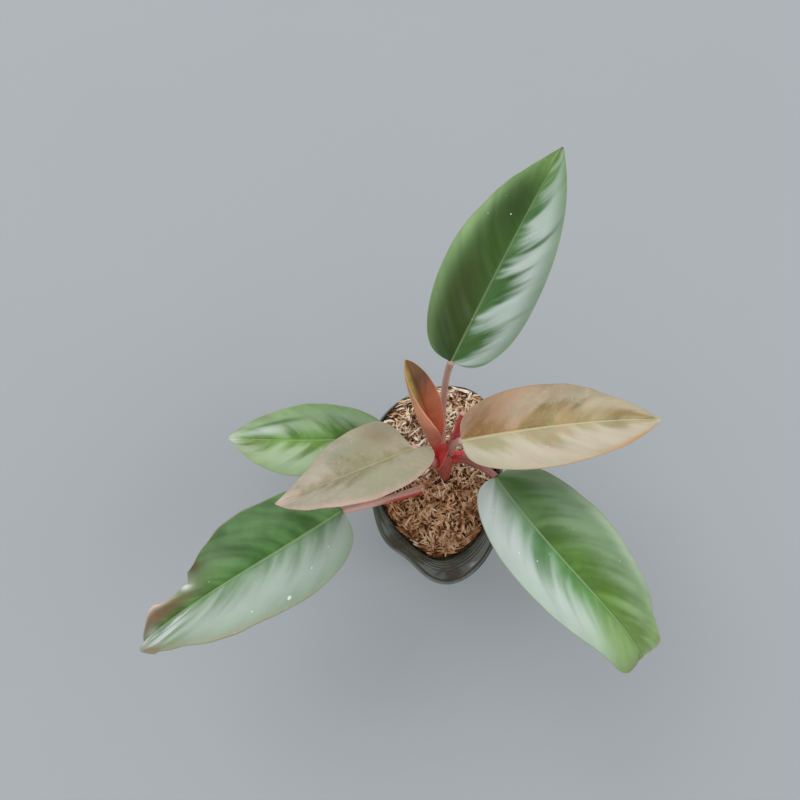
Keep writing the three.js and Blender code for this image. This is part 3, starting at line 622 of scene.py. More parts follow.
def new_material(name):
    """A material with its tree, its Principled shader and a wire of the place on the object."""
    material = bpy.data.materials.new(name)
    material.use_nodes = True
    tree = material.node_tree
    tree.nodes.clear()
    shader = tree.nodes.new("ShaderNodeBsdfPrincipled")
    output = tree.nodes.new("ShaderNodeOutputMaterial")
    tree.links.new(shader.outputs[0], output.inputs["Surface"])
    return material, tree, shader, add_node(tree, "ShaderNodeTexCoord", output="Object")


def set_shader(shader, **values):
    """Sets or links the shader's sockets; an underscore stands for a space in a socket's name."""
    for key, value in values.items():
        connect(value, shader.inputs[key.replace("_", " ")])


def values_of(tree, *names):
    """The piece's own named values at each point."""
    return [add_node(tree, "ShaderNodeAttribute", output="Fac", attribute_name=name) for name in names]


def noise_of(vector, scale, detail=3.0, roughness=0.55, distortion=0.0):
    """Cloudy noise from 0 to 1."""
    return add_node(vector.tree, "ShaderNodeTexNoise", {
        "Vector": vector, "Scale": scale, "Detail": detail, "Roughness": roughness,
        "Distortion": distortion})


def stretched(vector, scale):
    return add_node(vector.tree, "ShaderNodeMapping", {"Vector": vector, "Scale": scale})


def combined(x, y, z):
    return add_node(tree_of(x, y, z), "ShaderNodeCombineXYZ", {"X": x, "Y": y, "Z": z})


def mixed(share, a, b, how="MIX"):
    """Mixes two colours, each a wire or a #rrggbb code."""
    a, b = (colour_of(value) if isinstance(value, str) else value for value in (a, b))
    inputs = {0: share, 6: a, 7: b}
    return add_node(tree_of(share, a, b), "ShaderNodeMix", inputs, 2, data_type="RGBA", blend_type=how)


def ramp(share, stops):
    """A colour ramp: stops are (place, #rrggbb code)."""
    colour = add_node(share.tree, "ShaderNodeValToRGB", {0: share})
    elements = colour.socket.node.color_ramp.elements
    while len(elements) < len(stops):
        elements.new(0.5)
    for element, (place, code) in zip(elements, stops):
        element.position = place
        element.color = colour_of(code)
    return colour


def relief_of(height, distance, strength):
    """A surface direction tilted by a height map."""
    return add_node(height.tree, "ShaderNodeBump", {
        "Height": height, "Distance": distance, "Strength": strength})


def cells_of(vector, scale, output="Distance"):
    """Cells round scattered points: how far each place is from its point, or a colour for each cell."""
    return add_node(vector.tree, "ShaderNodeTexVoronoi", {"Vector": vector, "Scale": scale}, output)


def leaf_material(name, look, roughness):
    """A blade's skin: two halves with their own colours, tonal bands, a painted sheen, midrib, margin and
    specks.
    """
    material, tree, shader, place = new_material(name)
    along, across, lateral, from_rib, under = values_of(
        tree, "along", "across", "lateral", "from_rib", "underside")
    share = abs(across)

    stops = (0.04, 0.33, 0.66, 0.95)
    left = ramp(along, list(zip(stops, look["left_colours"])))
    right = ramp(along, list(zip(stops, look["right_colours"])))
    is_left = smooth_step(across, -0.01, 0.01)
    colour = mixed(is_left, right, left)

    # Soft bands that run outward and forward with the side veins, and finer ones among them
    rate = look["laterals"] * look["band_rate"]
    bands = vein_bands(lateral * rate, across * 0.9, look["seed"] * 7.3, 1.5)
    fine = vein_bands(lateral * look["laterals"] * 2.6, across * 2.4, look["seed"] * 5.1 + 3, 3.0)
    mottle = noise_of(place, 55.0, 4.0)
    banding_left, banding_right = look["banding"]
    tone = bands * 0.45 + fine * 0.15 + mottle * 0.4
    shade = mixed(smooth_step(tone, 0.36, 0.62), "#8f9a74", "#ffffff")
    colour = mixed(blend(banding_right, banding_left, is_left), colour, shade, "MULTIPLY")
    if "mottle" in look:
        cool, warm = look["mottle"]
        grain = noise_of(place, 260.0, 5.0, 0.75)
        colour = mixed(smooth_step(grain, 0.48, 0.68) * 0.5, colour, cool)
        colour = mixed((1 - smooth_step(grain, 0.34, 0.54)) * 0.45, colour, warm)

    # Painted sheen: the pale reflection of the light is painted into the colour, in streaks beside the
    # midrib that close up towards the margin
    strength = blend(look["bloom_right"], look["bloom_left"], is_left)
    low, high, ragged = look["silver"]
    streak = share + (bands * 0.75 + fine * 0.25 - 0.5) * ragged
    fading = 1 - smooth_step(share, 0.6, 1.0) * look["outer"]
    fading = fading * (1 - smooth_step(along, 0.55, 0.9) * look["bare_tip"])
    cover = smooth_step(streak, low, high) * smooth_step(share, 0.0, 0.1) * fading
    colour = mixed(cover * strength, colour, look["bloom"])

    for at, over, reach, width, code, weight in look["patches"]:
        here = bump(along, at, reach) * bump(across, over, width)
        cover = here * (bands * 0.8 + mottle * 0.6 + 0.35) * weight
        colour = mixed(clamp(cover), colour, code)

    # Painted highlight and painted shade on the wrinkles: pale along their crests, dark green in their
    # troughs
    if "wrinkles" in look:
        at, reach, _ = look["wrinkles"]
        creases = sine(share * CREASES_ACROSS - along * CREASES_ALONG + bands * 7) * 0.5 + 0.5
        inner = smooth_step(across, 0.03, 0.15) * (1 - smooth_step(across, 0.65, 0.9))
        here = bump(along, at, reach * 1.2) * inner
        colour = mixed(here * smooth_step(creases, 0.3, 0.9) * 0.8, colour, "#c6cdcc")
        colour = mixed(here * (1 - smooth_step(creases, 0.05, 0.4)) * 0.8, colour, "#6c8462")

    rib_width = blend(look["rib_width"], 0.3, along)
    rib = 1 - smooth_step(from_rib, rib_width * 0.45, rib_width)
    colour = mixed(rib * look["rib_strength"], colour, look["rib"])
    edge = smooth_step(share, 0.965, 0.995)
    colour = mixed(edge * 0.6, colour, look["margin"])

    # Dried water specks: chosen ones, and a few fine flecks
    half = (look["left"] + look["right"]) / 2
    for at, over, size in look["spots"]:
        dx = (along - at) * (look["length"] / size)
        dy = (across - over) * (half / size)
        dot = 1 - smooth_step(dx * dx + dy * dy, 0.5, 1.1)
        colour = mixed(dot * 0.8, colour, "#dfe3da")
    cells = cells_of(place, 260.0)
    chance = add_node(tree, "ShaderNodeSeparateColor", {"Color": cells_of(place, 260.0, "Color")})
    fleck = (1 - smooth_step(cells, 0.06, 0.14)) * smooth_step(chance, 0.955, 0.96)
    colour = mixed(fleck * 0.4, colour, "#cfd6c8")

    below = mixed(rib * 0.8, mixed(tone, look["underside"], look["margin"]), "#9c6a58")
    colour = mixed(under, colour, below)

    skin = noise_of(place, 420.0, 2.0)
    rough = skin * 0.1 + mottle * 0.08 + (roughness - 0.09) + under * 0.15
    pores = noise_of(place, 1700.0, 2.0)
    normal = relief_of(pores * 0.3 + fine * 0.8, 0.00014, 0.7)
    set_shader(shader, Base_Color=colour, Roughness=rough, Normal=normal, IOR=1.45,
               Specular_IOR_Level=0.24, Coat_Weight=0.06, Coat_Roughness=0.25)
    return material


def vein_bands(along_veins, across, layer, detail):
    """Noise that is drawn out along the side veins."""
    return noise_of(combined(along_veins, across, layer), 1.0, detail, 0.5)


def young_leaf_material():
    """The rolled leaf: bronze to orange-red inside, terracotta outside, with an olive strip."""
    material, tree, shader, place = new_material("young leaf")
    along, across, lateral, under = values_of(tree, "along", "across", "lateral", "underside")
    inside = ramp(along, [(0.0, "#d0442c"), (0.25, "#e66c36"), (0.5, "#b25a26"), (0.75, "#6c3c1c"),
                          (1.0, "#8a6034")])
    outside = ramp(along, [(0.0, "#c2463c"), (0.35, "#dc8668"), (0.7, "#e09a76"), (1.0, "#c48a5c")])
    olive = bump(along, 0.74, 0.26) * smooth_step(across, 0.02, 0.22)
    inside = mixed(clamp(olive * 1.3), inside, "#a8922c")
    colour = mixed(under, inside, outside)
    bands = vein_bands(lateral * 9, across * 1.5, 4.0, 3.0)
    cloud = noise_of(place, 90.0, 4.0)
    shade = mixed(smooth_step(bands * 0.3 + cloud * 0.7, 0.36, 0.64), "#b4b4b4", "#ffffff")
    colour = mixed(0.5, colour, shade, "MULTIPLY")
    edge = smooth_step(abs(across), 0.95, 0.99)
    colour = mixed(edge * 0.7, colour, "#e0a48a")
    rough = noise_of(place, 300.0, 2.0) * 0.15 + 0.28
    normal = relief_of(bands * 0.5 + noise_of(place, 1500.0) * 0.3, 0.0001, 0.6)
    set_shader(shader, Base_Color=colour, Roughness=rough, Normal=normal, IOR=1.45,
               Specular_IOR_Level=0.65, Coat_Weight=0.2, Coat_Roughness=0.25)
    return material


def stalk_material(name, foot, head, stripe, cut=None, roughness=0.36, sheath=None, red_edge=None):
    """A petiole's skin: colour from foot to head, stripes, flecks, and a red sheath, edge or cut face."""
    material, tree, shader, place = new_material(name)
    along, around = values_of(tree, "along", "around")
    colour = mixed(smooth_step(along, 0.0, 0.85), foot, head)
    turn = around * math.tau
    lines = combined(along * 3.0, cosine(turn) * 6.0, sine(turn) * 6.0)
    stripes = noise_of(lines, 1.6, 4.0, 0.65)
    colour = mixed(smooth_step(stripes, 0.46, 0.72) * 0.55, colour, stripe)
    cloud = noise_of(place, 160.0, 4.0)
    colour = mixed(0.4, colour, mixed(cloud, "#888888", "#ffffff"), "MULTIPLY")
    cells = cells_of(stretched(place, (1, 1, 0.5)), 900.0)
    colour = mixed((1 - smooth_step(cells, 0.1, 0.28)) * 0.3, colour, "#e0c4b8")
    if sheath:
        at_foot = 1 - smooth_step(along + stripes * 0.1, 0.2, 0.42)
        colour = mixed(at_foot * 0.9, colour, sheath)
    if red_edge:
        edge = smooth_step(cosine(turn - red_edge), 0.55, 0.85) * (1 - smooth_step(along, 0.5, 0.8))
        colour = mixed(edge * 0.85, colour, "#b03434")
    if cut:
        face = smooth_step(along, 0.985, 0.995)
        rings = noise_of(place, 1400.0, 3.0)
        colour = mixed(face, colour, mixed(rings, cut, "#d8b09a"))
    rough = cloud * 0.18 + (roughness - 0.09)
    normal = relief_of(stripes * 0.8 + noise_of(place, 1300.0) * 0.4, 0.00018, 0.7)
    set_shader(shader, Base_Color=colour, Roughness=rough, Normal=normal, IOR=1.45,
               Subsurface_Weight=0.04)
    return material


def bud_scale_material():
    """The glossy red scale: lighter where it is thin, with fine lengthwise lines."""
    material, tree, shader, place = new_material("bud scale")
    along, across = values_of(tree, "along", "across")
    colour = ramp(along, [(0.0, "#b03632"), (0.35, "#dc3e3e"), (0.8, "#e25450"), (1.0, "#c8645a")])
    lines = noise_of(combined(along * 1.5, across * 14, 0.0), 1.0, 3.0)
    colour = mixed(smooth_step(lines, 0.45, 0.7) * 0.3, colour, "#a02428")
    edge = smooth_step(abs(across), 0.85, 0.99)
    colour = mixed(edge * 0.6, colour, "#e0655a")
    rough = noise_of(place, 500.0) * 0.12 + 0.16
    set_shader(shader, Base_Color=colour, Roughness=rough, Normal=relief_of(lines, 0.0002, 0.5),
               IOR=1.47, Coat_Weight=0.4, Coat_Roughness=0.08, Subsurface_Weight=0.06)
    return material


def husk_material(name, stops, front):
    """Husk and straw: each piece has its own tone, browner in front, with fibres and dark ends."""
    material, tree, shader, place = new_material(name)
    tone, along = values_of(tree, "tone", "along")
    colour = ramp(tone, stops)
    drift = noise_of(place, 45.0, 2.0)
    in_front = 1 - smooth_step(part_of(place, "Y") + (drift - 0.5) * 0.03, -0.01, 0.02)
    colour = mixed(in_front, colour, front, "MULTIPLY")
    clumps = smooth_step(noise_of(place, 130.0, 3.0), 0.4, 0.58)
    shade = mixed(in_front, "#ecd8c4", "#a87c60")
    colour = mixed((1 - clumps) * 0.5, colour, shade, "MULTIPLY")
    fibre = noise_of(combined(along * 2.0, tone * 60.0, 0.0), 5.0, 3.0, 0.6)
    colour = mixed(0.25, colour, mixed(fibre, "#9a8a78", "#ffffff"), "MULTIPLY")
    ends = smooth_step(abs(along - 0.5), 0.38, 0.5)
    colour = mixed(ends * 0.18, colour, "#7a5230")
    normal = relief_of(noise_of(place, 2600.0, 3.0), 0.0003, 0.8)
    set_shader(shader, Base_Color=colour, Normal=normal, Roughness=0.7, IOR=1.4,
               Specular_IOR_Level=0.35)
    return material


def soil_material(name, dark, light, scale):
    """Dark crumbly matter: clods, fine grit and a few pale bits."""
    material, tree, shader, place = new_material(name)
    clods = noise_of(place, scale, 6.0, 0.7)
    grit = noise_of(place, scale * 6, 4.0, 0.7)
    colour = mixed(smooth_step(clods, 0.35, 0.68), dark, light)
    colour = mixed(smooth_step(grit, 0.66, 0.74) * 0.5, colour, "#a8875c")
    normal = relief_of(clods + grit * 0.4, 0.0012, 0.9)
    set_shader(shader, Base_Color=colour, Normal=normal, Roughness=0.92, Specular_IOR_Level=0.2)
    return material


def pot_material(colour):
    """Thin glossy plastic: near black with a green cast, smudged, scuffed grey outside and dusty, with a
    painted grey reflection on the lip and painted highlights along the ribs.
    """
    material, tree, shader, place = new_material("nursery pot plastic")
    z = part_of(place, "Z")
    smudge = noise_of(place, 38.0, 5.0, 0.6)
    scuff = noise_of(stretched(place, (1, 1, 0.2)), 260.0, 4.0, 0.7, 1.5)
    dust = smooth_step(noise_of(place, 120.0, 5.0, 0.7), 0.55, 0.8)
    base = mixed(smooth_step(smudge, 0.4, 0.7) * 0.5, (*colour, 1.0), "#46564b")
    base = mixed(smooth_step(scuff, 0.55, 0.78) * 0.35, base, "#68716a")
    # Painted reflection: a grey band on the lip where the glossy plastic would mirror the light
    lip_reflection_paint = smooth_step(z, 0.0965, 0.1) * smooth_step(smudge, 0.42, 0.62)
    base = mixed(lip_reflection_paint * 0.3, base, "#727a76")
    base = mixed(dust * 0.07, base, "#8a857a")
    # Painted highlights: light grey lines along the ribs below the lip, where the glossy ridges would catch
    # the light
    for rib in RIBS_BELOW_LIP:
        rib_highlight_paint = bump(z, rib * MM, 0.5 * MM) * smooth_step(smudge, 0.4, 0.6)
        base = mixed(rib_highlight_paint * 0.5, base, "#9aa09b")
    rough = smudge * 0.1 + dust * 0.15 + 0.09
    normal = relief_of(noise_of(place, 110.0, 2.0) + scuff * 0.1, 0.0005, 0.5)
    set_shader(shader, Base_Color=base, Roughness=rough, Normal=normal, IOR=1.5,
               Specular_IOR_Level=0.7, Coat_Weight=0.5, Coat_Roughness=0.08)
    return material


def floor_material(colour):
    """A plain matt floor with a faint cloud of tone."""
    material, tree, shader, place = new_material("studio floor")
    cloud = noise_of(place, 3.0, 3.0)
    pale = mixed(cloud * 0.12, (*colour, 1.0), "#b4b8bc")
    set_shader(shader, Base_Color=pale, Roughness=0.8, Specular_IOR_Level=0.2)
    return material


# Pot

def outline_radius(angle, mean, egg, oval, dents):
    """A squeezed round outline; each dent is a smooth bump about its own angle."""
    turn = angle - math.radians(SQUEEZE_AXIS)
    radius = mean - cosine(turn) * egg + cosine(turn * 2) * oval
    for at, width, out in dents:
        sharpness = 2 / math.radians(width) ** 2
        radius = radius + exponential((cosine(angle - math.radians(at)) - 1) * sharpness) * (out * MM)
    return radius


def wall_radius(angle, level, rim, base):
    """The outer face of the wall, with level 0 at the base and 1 at the rim."""
    front = smooth_step(sine(angle) * -1, *FLARE_SPAN)
    power = blend(FLARE_BACK, FLARE_FRONT, front)
    return blend(base, rim - LIP_WIDTH * MM, level ** power)


def rib_at(z):
    """How far the fine ribs below the lip stand out at this height."""
    return sum(RIB_HEIGHT * math.exp(-(((z - rib) / RIB_WIDTH) ** 2)) for rib in RIBS_BELOW_LIP)


def pot_profile(settings):
    """The wall's section from the base up, over the lip and down inside: (out, height, on the rim)."""
    top = settings.height / MM
    lip_foot = top - LIP_DEPTH
    wall = settings.wall / MM
    ribbed = np.linspace(RIBBED_FROM, lip_foot - 1, 38)
    # The base's rounded edge, the plain wall and its ribs
    points = [(-BASE_CHAMFER, 0, 0), (-BASE_CHAMFER + 1.2, 0.25, 0), (-0.35, 1.3, 0)]
    points += [(0, z, 0) for z in np.linspace(2.5, PLAIN_UP_TO, 22)]
    points += [(rib_at(z), z, 0) for z in ribbed]
    # The lip from its foot, over its rounded top and down inside
    points += [(LIP_WIDTH - 0.9, lip_foot - 0.45, 0.6), (LIP_WIDTH - 0.5, lip_foot, 1),
               (LIP_WIDTH - 0.15, lip_foot + 0.2, 1), (LIP_WIDTH, lip_foot + 0.7, 1)]
    points += [(LIP_WIDTH, top - 0.7, 1), (LIP_WIDTH - 0.2, top - 0.2, 1), (LIP_WIDTH - 0.6, top, 1),
               (0, top, 1), (-0.35, top - 0.1, 1), (-0.65, top - 0.5, 1), (-0.95, top - 1.6, 0.85)]
    points += [(-1.1, lip_foot + 0.4, 0.5)]
    # The inside down to the floor
    points += [(rib_at(z) - wall, z, 0) for z in ribbed[::-1]]
    points += [(-wall, z, 0) for z in np.linspace(PLAIN_UP_TO, 3.2, 24)]
    points += [(-wall - 0.3, 2.4, 0), (-wall - 1.2, POT_FLOOR, 0)]
    return points


def pot_tree():
    """Sweeps the wall's section round the squeezed outline, with soft buckles at the front."""
    lengths = [f"{end} {size}" for end in ("Rim", "Base") for size in ("Radius", "Egg", "Oval")]
    tree, sizes, way_out = geometry_tree("Squeezed pot", {
        "Sides": "Int", "Section Points": "Int", **dict.fromkeys(["Height", *lengths, "Buckle"], "Float"),
        "Material": "Material"})
    grid, here, share, place = sweep_grid(sizes["Sides"], sizes["Section Points"] - 1)
    angle = share * math.tau
    row = math_node("ROUND", place)

    def at_row(value, kind):
        return add_node(tree, "GeometryNodeSampleIndex", {
            "Geometry": sizes["Geometry"], "Value": value, "Index": row}, data_type=kind)

    section = at_row(here, "FLOAT_VECTOR")
    on_rim = at_row(own_value(tree, "on_rim"), "FLOAT")
    height = part_of(section, "Z")
    rim = outline_radius(angle, sizes["Rim Radius"], sizes["Rim Egg"], sizes["Rim Oval"], RIM_DENTS)
    base = outline_radius(angle, sizes["Base Radius"], sizes["Base Egg"], sizes["Base Oval"], BASE_DENTS)
    level = height / sizes["Height"]
    wall = wall_radius(angle, level, rim, base)
    radius = blend(wall, rim - LIP_WIDTH * MM, on_rim) + part_of(section, "X")
    folds = sine(angle * 9 + level * 2.6 + 0.8) + sine(angle * 16 - level * 3.1) * 0.5
    front = smooth_step(sine(angle) * -1, 0.1, 0.8)
    belly = smooth_step(level, 0.1, 0.5) * (1 - smooth_step(level, 0.72, 0.86))
    radius = radius + folds * front * belly * sizes["Buckle"]
    spot = combined(radius * cosine(angle), radius * sine(angle), height)
    finish_sweep(grid, spot, sizes["Material"], way_out)
    return tree


def ring_edges(shape, height):
    """The open edges of a shell that lie level at this height."""
    return [e for e in shape.edges
            if e.is_boundary and all(abs(v.co.z - height) < 1e-5 for v in e.verts)]


def add_drained_floor(shape):
    """Closes the pot's base with two faces and the drain holes between them."""
    lower = ring_edges(shape, 0)
    upper = ring_edges(shape, POT_FLOOR * MM)
    if not lower or not upper:
        raise RuntimeError("the pot's wall has no open base ring")
    for k in range(DRAIN_HOLES):
        turn = math.tau * (k + 0.5) / DRAIN_HOLES
        centre = Vector((math.cos(turn), math.sin(turn), 0)) * DRAIN_CIRCLE_RADIUS * MM
        rings = []
        for height, edges in ((0, lower), (POT_FLOOR * MM, upper)):
            ring = []
            for j in range(DRAIN_HOLE_SIDES):
                angle = math.tau * j / DRAIN_HOLE_SIDES
                arm = Vector((math.cos(angle), math.sin(angle), 0)) * DRAIN_HOLE_RADIUS * MM
                ring.append(shape.verts.new(centre + arm + Vector((0, 0, height))))
            edges += [shape.edges.new((ring[j - 1], ring[j])) for j in range(DRAIN_HOLE_SIDES)]
            rings.append(ring)
        for j in range(DRAIN_HOLE_SIDES):
            shape.faces.new((rings[0][j - 1], rings[0][j], rings[1][j], rings[1][j - 1]))
    for edges in (lower, upper):
        bmesh.ops.triangle_fill(shape, use_beauty=True, use_dissolve=False, edges=edges)


# Mulch

def mulch_height(x, y):
    """The top of the mulch: a gentle slope with ripples, the heap at the back and the small mound."""
    ripple = np.sin(0.31 * x + 1.3) * np.cos(0.27 * y) + 0.6 * np.sin(0.19 * x - 0.41 * y + 0.7)
    heap = HEAP * smooth_step(y - HEAP_TURN * x, *HEAP_SPAN)
    at_x, at_y, reach, height = MOUND
    mound = height * bump(x, at_x, reach) * bump(y, at_y, reach)
    return MULCH_LEVEL + MULCH_SLOPE * y + MULCH_RELIEF * ripple + heap + mound


def pot_wall_at(angle, z, pot):
    """The radius of the pot's outer wall in millimetres, for arrays of angles and heights."""
    rim = outline_radius(angle, pot.rim_radius, RIM_EGG * MM, pot.rim_oval, RIM_DENTS)
    base = outline_radius(angle, pot.base_radius, BASE_EGG * MM, BASE_OVAL * MM, BASE_DENTS)
    return wall_radius(angle, z * MM / pot.height, rim, base) / MM


def mulch_edge(angle, pot):
    """Where the mulch meets the pot's wall: the bed slopes, so this takes a few rounds."""
    gap = pot.wall / MM + MULCH_GAP
    radius = pot_wall_at(angle, MULCH_LEVEL, pot)
    for _ in range(4):
        z = mulch_height(radius * np.cos(angle), radius * np.sin(angle))
        radius = pot_wall_at(angle, z, pot) - gap
    return radius


def ring_faces(sides, rings):
    """The faces between rings of points that follow each other in a list."""
    faces = []
    for start in range(0, (rings - 1) * sides, sides):
        for k in range(sides):
            a = start + k
            b = start + (k + 1) % sides
            faces.append((a, b, b + sides, a + sides))
    return faces


def mulch_bed(pot):
    """A closed bed with a lumpy top, marked with the way to the wall, its turn and where husks may lie."""
    angles = np.linspace(0, math.tau, BED_SIDES, endpoint=False)
    edge = mulch_edge(angles, pot)
    gap = pot.wall / MM + MULCH_GAP
    points, marks = [], []
    for z in (MULCH_BOTTOM, BED_WAIST):
        radius = pot_wall_at(angles, np.full(BED_SIDES, float(z)), pot) - gap
        points += list(zip(radius * np.cos(angles), radius * np.sin(angles), np.full(BED_SIDES, z)))
        marks += [(0, 0, 0)] * BED_SIDES
    for ring in range(BED_RINGS):
        share = 1 - ring / BED_RINGS
        for angle, reach in zip(angles, edge):
            x = share * reach * math.cos(angle)
            y = share * reach * math.sin(angle)
            lump = noise.noise(Vector((x, y, 3)) * 0.25) * 1.3 + noise.noise(Vector((x, y, 9)) * 0.8) * 0.7
            points.append((x, y, mulch_height(x, y) - BED_SINK + lump * min(1, ring / 2)))
            from_wall = (1 - share) * reach
            from_stem = math.hypot(x - STEM_SPOT[0], y - STEM_SPOT[1])
            is_open = from_stem > STEM_CLEARANCE and from_wall > WALL_CLEARANCE
            marks.append((from_wall, angle + math.pi / 2, is_open))
    faces = ring_faces(BED_SIDES, BED_RINGS + 2)
    bottom = len(points)
    last = bottom - BED_SIDES
    for k in range(BED_SIDES):
        after = (k + 1) % BED_SIDES
        faces.append((bottom, after, k))
        faces.append((bottom + 1, last + k, last + after))
    points += [(0, 0, MULCH_BOTTOM), (0, 0, float(mulch_height(0, 0)))]
    marks += [(BED_MIDDLE, 0, False), (BED_MIDDLE, 0, True)]
    obj = mesh_object("mulch_bed", points, faces, dict(zip(("edge", "turn", "open"), zip(*marks))))
    edit_mesh(obj.data)
    return obj


def husk_shape(name, width, thickness, bend, twist, steps, sides):
    """One small husk of unit length along X: a bent, twisted strip that narrows to both ends."""
    points = []
    lengthwise = []
    for i in range(steps + 1):
        u = i / steps
        taper = 0.35 + 0.65 * math.sin(math.pi * u) ** 0.6 if 0 < u < 1 else 0.3
        roll = twist * (u - 0.5)
        rise = bend * (0.25 - (u - 0.5) ** 2) * 4
        for k in range(sides):
            angle = math.tau * (k + 0.5) / sides
            across = width * taper * math.cos(angle)
            up = thickness * taper * math.sin(angle)
            points.append((u - 0.5, across * math.cos(roll) - up * math.sin(roll),
                           rise + across * math.sin(roll) + up * math.cos(roll)))
            lengthwise.append(u)
    faces = [tuple(range(sides))[::-1], tuple(steps * sides + k for k in range(sides))]
    faces += ring_faces(sides, steps + 1)
    obj = mesh_object(name, np.array(points) / MM, faces, {"along": lengthwise}, smooth=False)
    edit_mesh(obj.data)
    return obj


def scatter_tree(shapes):
    """Scatters husks, each with its own turn, tilt, size and tone; those at the edge lie along the wall."""
    lengths = ("Density", "Length", "Length Spread", "Tilt", "Lift", "Edge Belt")
    tree, sizes, way_out = geometry_tree("Scattered husks", {
        **{f"Shape {k + 1}": "Object" for k in range(shapes)}, **dict.fromkeys(lengths, "Float"),
        "Seed": "Int", "Material": "Material"})
    is_open = math_node("GREATER_THAN", own_value(tree, "open"), 0.5)
    spread = add_node(tree, "GeometryNodeDistributePointsOnFaces", {
        "Mesh": sizes["Geometry"], "Selection": is_open, "Density": sizes["Density"],
        "Seed": sizes["Seed"]})

    def draw(low, high, offset):
        return add_node(tree, "FunctionNodeRandomValue", {
            2: low, 3: high, "Seed": sizes["Seed"] + offset}, 1)

    def whole_draw(high, offset):
        return add_node(tree, "FunctionNodeRandomValue", {
            4: 0, 5: high, "Seed": sizes["Seed"] + offset}, 2, data_type="INT")

    in_belt = math_node("LESS_THAN", own_value(tree, "edge") * MM, sizes["Edge Belt"])
    yaw = blend(draw(0.0, math.tau, 1), own_value(tree, "turn") + draw(-0.25, 0.25, 2), in_belt)
    tilt = draw(sizes["Tilt"] * -1, sizes["Tilt"], 3)
    roll = draw(-0.6, 0.6, 4)
    turned = combined(roll, tilt, yaw)
    size = sizes["Length"] * (draw(0.0, 1.0, 5) ** 1.4 * sizes["Length Spread"] + 0.55)
    thick = size * 0.3 + sizes["Length"] * 0.7
    joined = tree.nodes.new("GeometryNodeJoinGeometry")
    for k in reversed(range(shapes)):
        info = add_node(tree, "GeometryNodeObjectInfo", {"Object": sizes[f"Shape {k + 1}"]}, "Geometry")
        whole = add_node(tree, "GeometryNodeGeometryToInstance", {"Geometry": info})
        connect(whole, joined.inputs[0])
    placed = add_node(tree, "GeometryNodeInstanceOnPoints", {
        "Points": spread, "Instance": Wire(tree, joined.outputs[0]), "Pick Instance": True,
        "Instance Index": whole_draw(shapes - 1, 6), "Rotation": turned,
        "Scale": combined(size, thick, thick)})
    lift = combined(0.0, 0.0, draw(-0.2, 1.0, 7) * sizes["Lift"])
    raised = add_node(tree, "GeometryNodeTranslateInstances", {
        "Instances": placed, "Translation": lift, "Local Space": False})
    toned = with_value(raised, "tone", draw(0.0, 1.0, 8), "INSTANCE")
    finish_tree(toned, sizes["Material"], way_out)
    return tree


def scatter(bed, shapes, name, values):
    """Runs the scatter over a copy of the bed and clears the shapes away."""
    source = bpy.data.objects.new(name + "_source", bed.data.copy())
    tree = scatter_tree(len(shapes))
    chosen = {f"Shape {k + 1}": shape for k, shape in enumerate(shapes)}
    obj = run_tree(source, tree, {**chosen, **values}, name)
    for shape in shapes:
        bpy.data.objects.remove(shape)
    return obj


# Blades

def blade_frames(leaf, distance):
    """The midline's point, side and face directions at these distances, in the blade's own frame."""
    stations = np.linspace(0, 1, STATIONS + 1)
    azimuth = math.radians(leaf["sweep"]) * stations
    pitch = np.radians(blend(*leaf["pitch"], stations ** leaf["bend"]))
    roll = np.radians(blend(*leaf["roll"], stations))[:, None]
    along = np.stack([np.cos(pitch) * np.cos(azimuth), np.cos(pitch) * np.sin(azimuth), np.sin(pitch)], 1)
    level = np.stack([-np.sin(azimuth), np.cos(azimuth), np.zeros_like(azimuth)], 1)
    upright = np.cross(along, level)
    side = level * np.cos(roll) + upright * np.sin(roll)
    face = upright * np.cos(roll) - level * np.sin(roll)
    steps = (along[1:] + along[:-1]) / 2 * (leaf["length"] / STATIONS)
    point = np.concatenate([np.zeros((1, 3)), np.cumsum(steps, 0)])
    share = np.clip(distance / leaf["length"], 0, 1)

    def sample(values):
        return np.stack([np.interp(share, stations, values[:, k]) for k in range(3)], -1)

    def unit(values):
        return values / np.linalg.norm(values, axis=-1, keepdims=True)

    before = np.minimum(distance, 0)[..., None] * along[0]
    beyond = np.maximum(distance - leaf["length"], 0)[..., None] * along[-1]
    return sample(point) + before + beyond, unit(sample(side)), unit(sample(face))


def half_width(leaf, t, left, rounding):
    """How wide a half is at each row, with its swells and its tear."""
    rise, fall = leaf["rise"], leaf["fall"]
    widest = rise / (rise + fall)
    peak = widest ** rise * (1 - widest) ** fall
    outline = t ** rise * (1 - t) ** fall / peak
    side = "left" if left else "right"
    width = leaf[side] * outline + blend(FOOT_HALF_WIDTH, TIP_HALF_WIDTH, t)
    for at, reach, swell in leaf["swells_" + side]:
        width = width + swell * bump(t, at, reach) * rounding
    if not left and "tear" in leaf:
        at, reach, depth = leaf["tear"]
        torn = np.clip((t - at) / TEAR_WIDTH, 0, 1) * np.exp(-np.maximum(t - at, 0) / reach)
        width = width - depth * torn
    return width


def half_lean(leaf, t, left, rounding):
    """How far forward a row leans on its way to the margin, as a share of the blade's length."""
    half = 0 if left else 1
    if left and "full_lobe" in leaf:
        lobe = np.exp(-((t / leaf["full_lobe"]) ** 2))
    else:
        lobe = (t / LOBE_REACH) * np.exp(1 - t / LOBE_REACH)
    drawn_out = leaf["tip_reach"][half] * smooth_step(t, TIP_START, 1) * rounding
    return leaf["reach"] * 4 * t * (1 - t) - leaf["lobe"][half] * lobe + drawn_out


def half_ripple(leaf, t, s, left):
    """How far the margin ripples and curls up, most of all near the middle of the blade."""
    waves = math.tau * leaf["waves"] * t
    ripple = np.sin(waves) * s ** 2 + FRILL_HEIGHT * np.sin(waves * FRILL_RATE + leaf["seed"]) * s ** 3
    ripple = leaf["wave"] * ripple * np.sin(math.pi * t)
    if not left and "curl" in leaf:
        at, reach, height = leaf["curl"]
        ripple = ripple + height * smooth_step(s, 0.5, 1) * bump(t, at, reach)
    return ripple


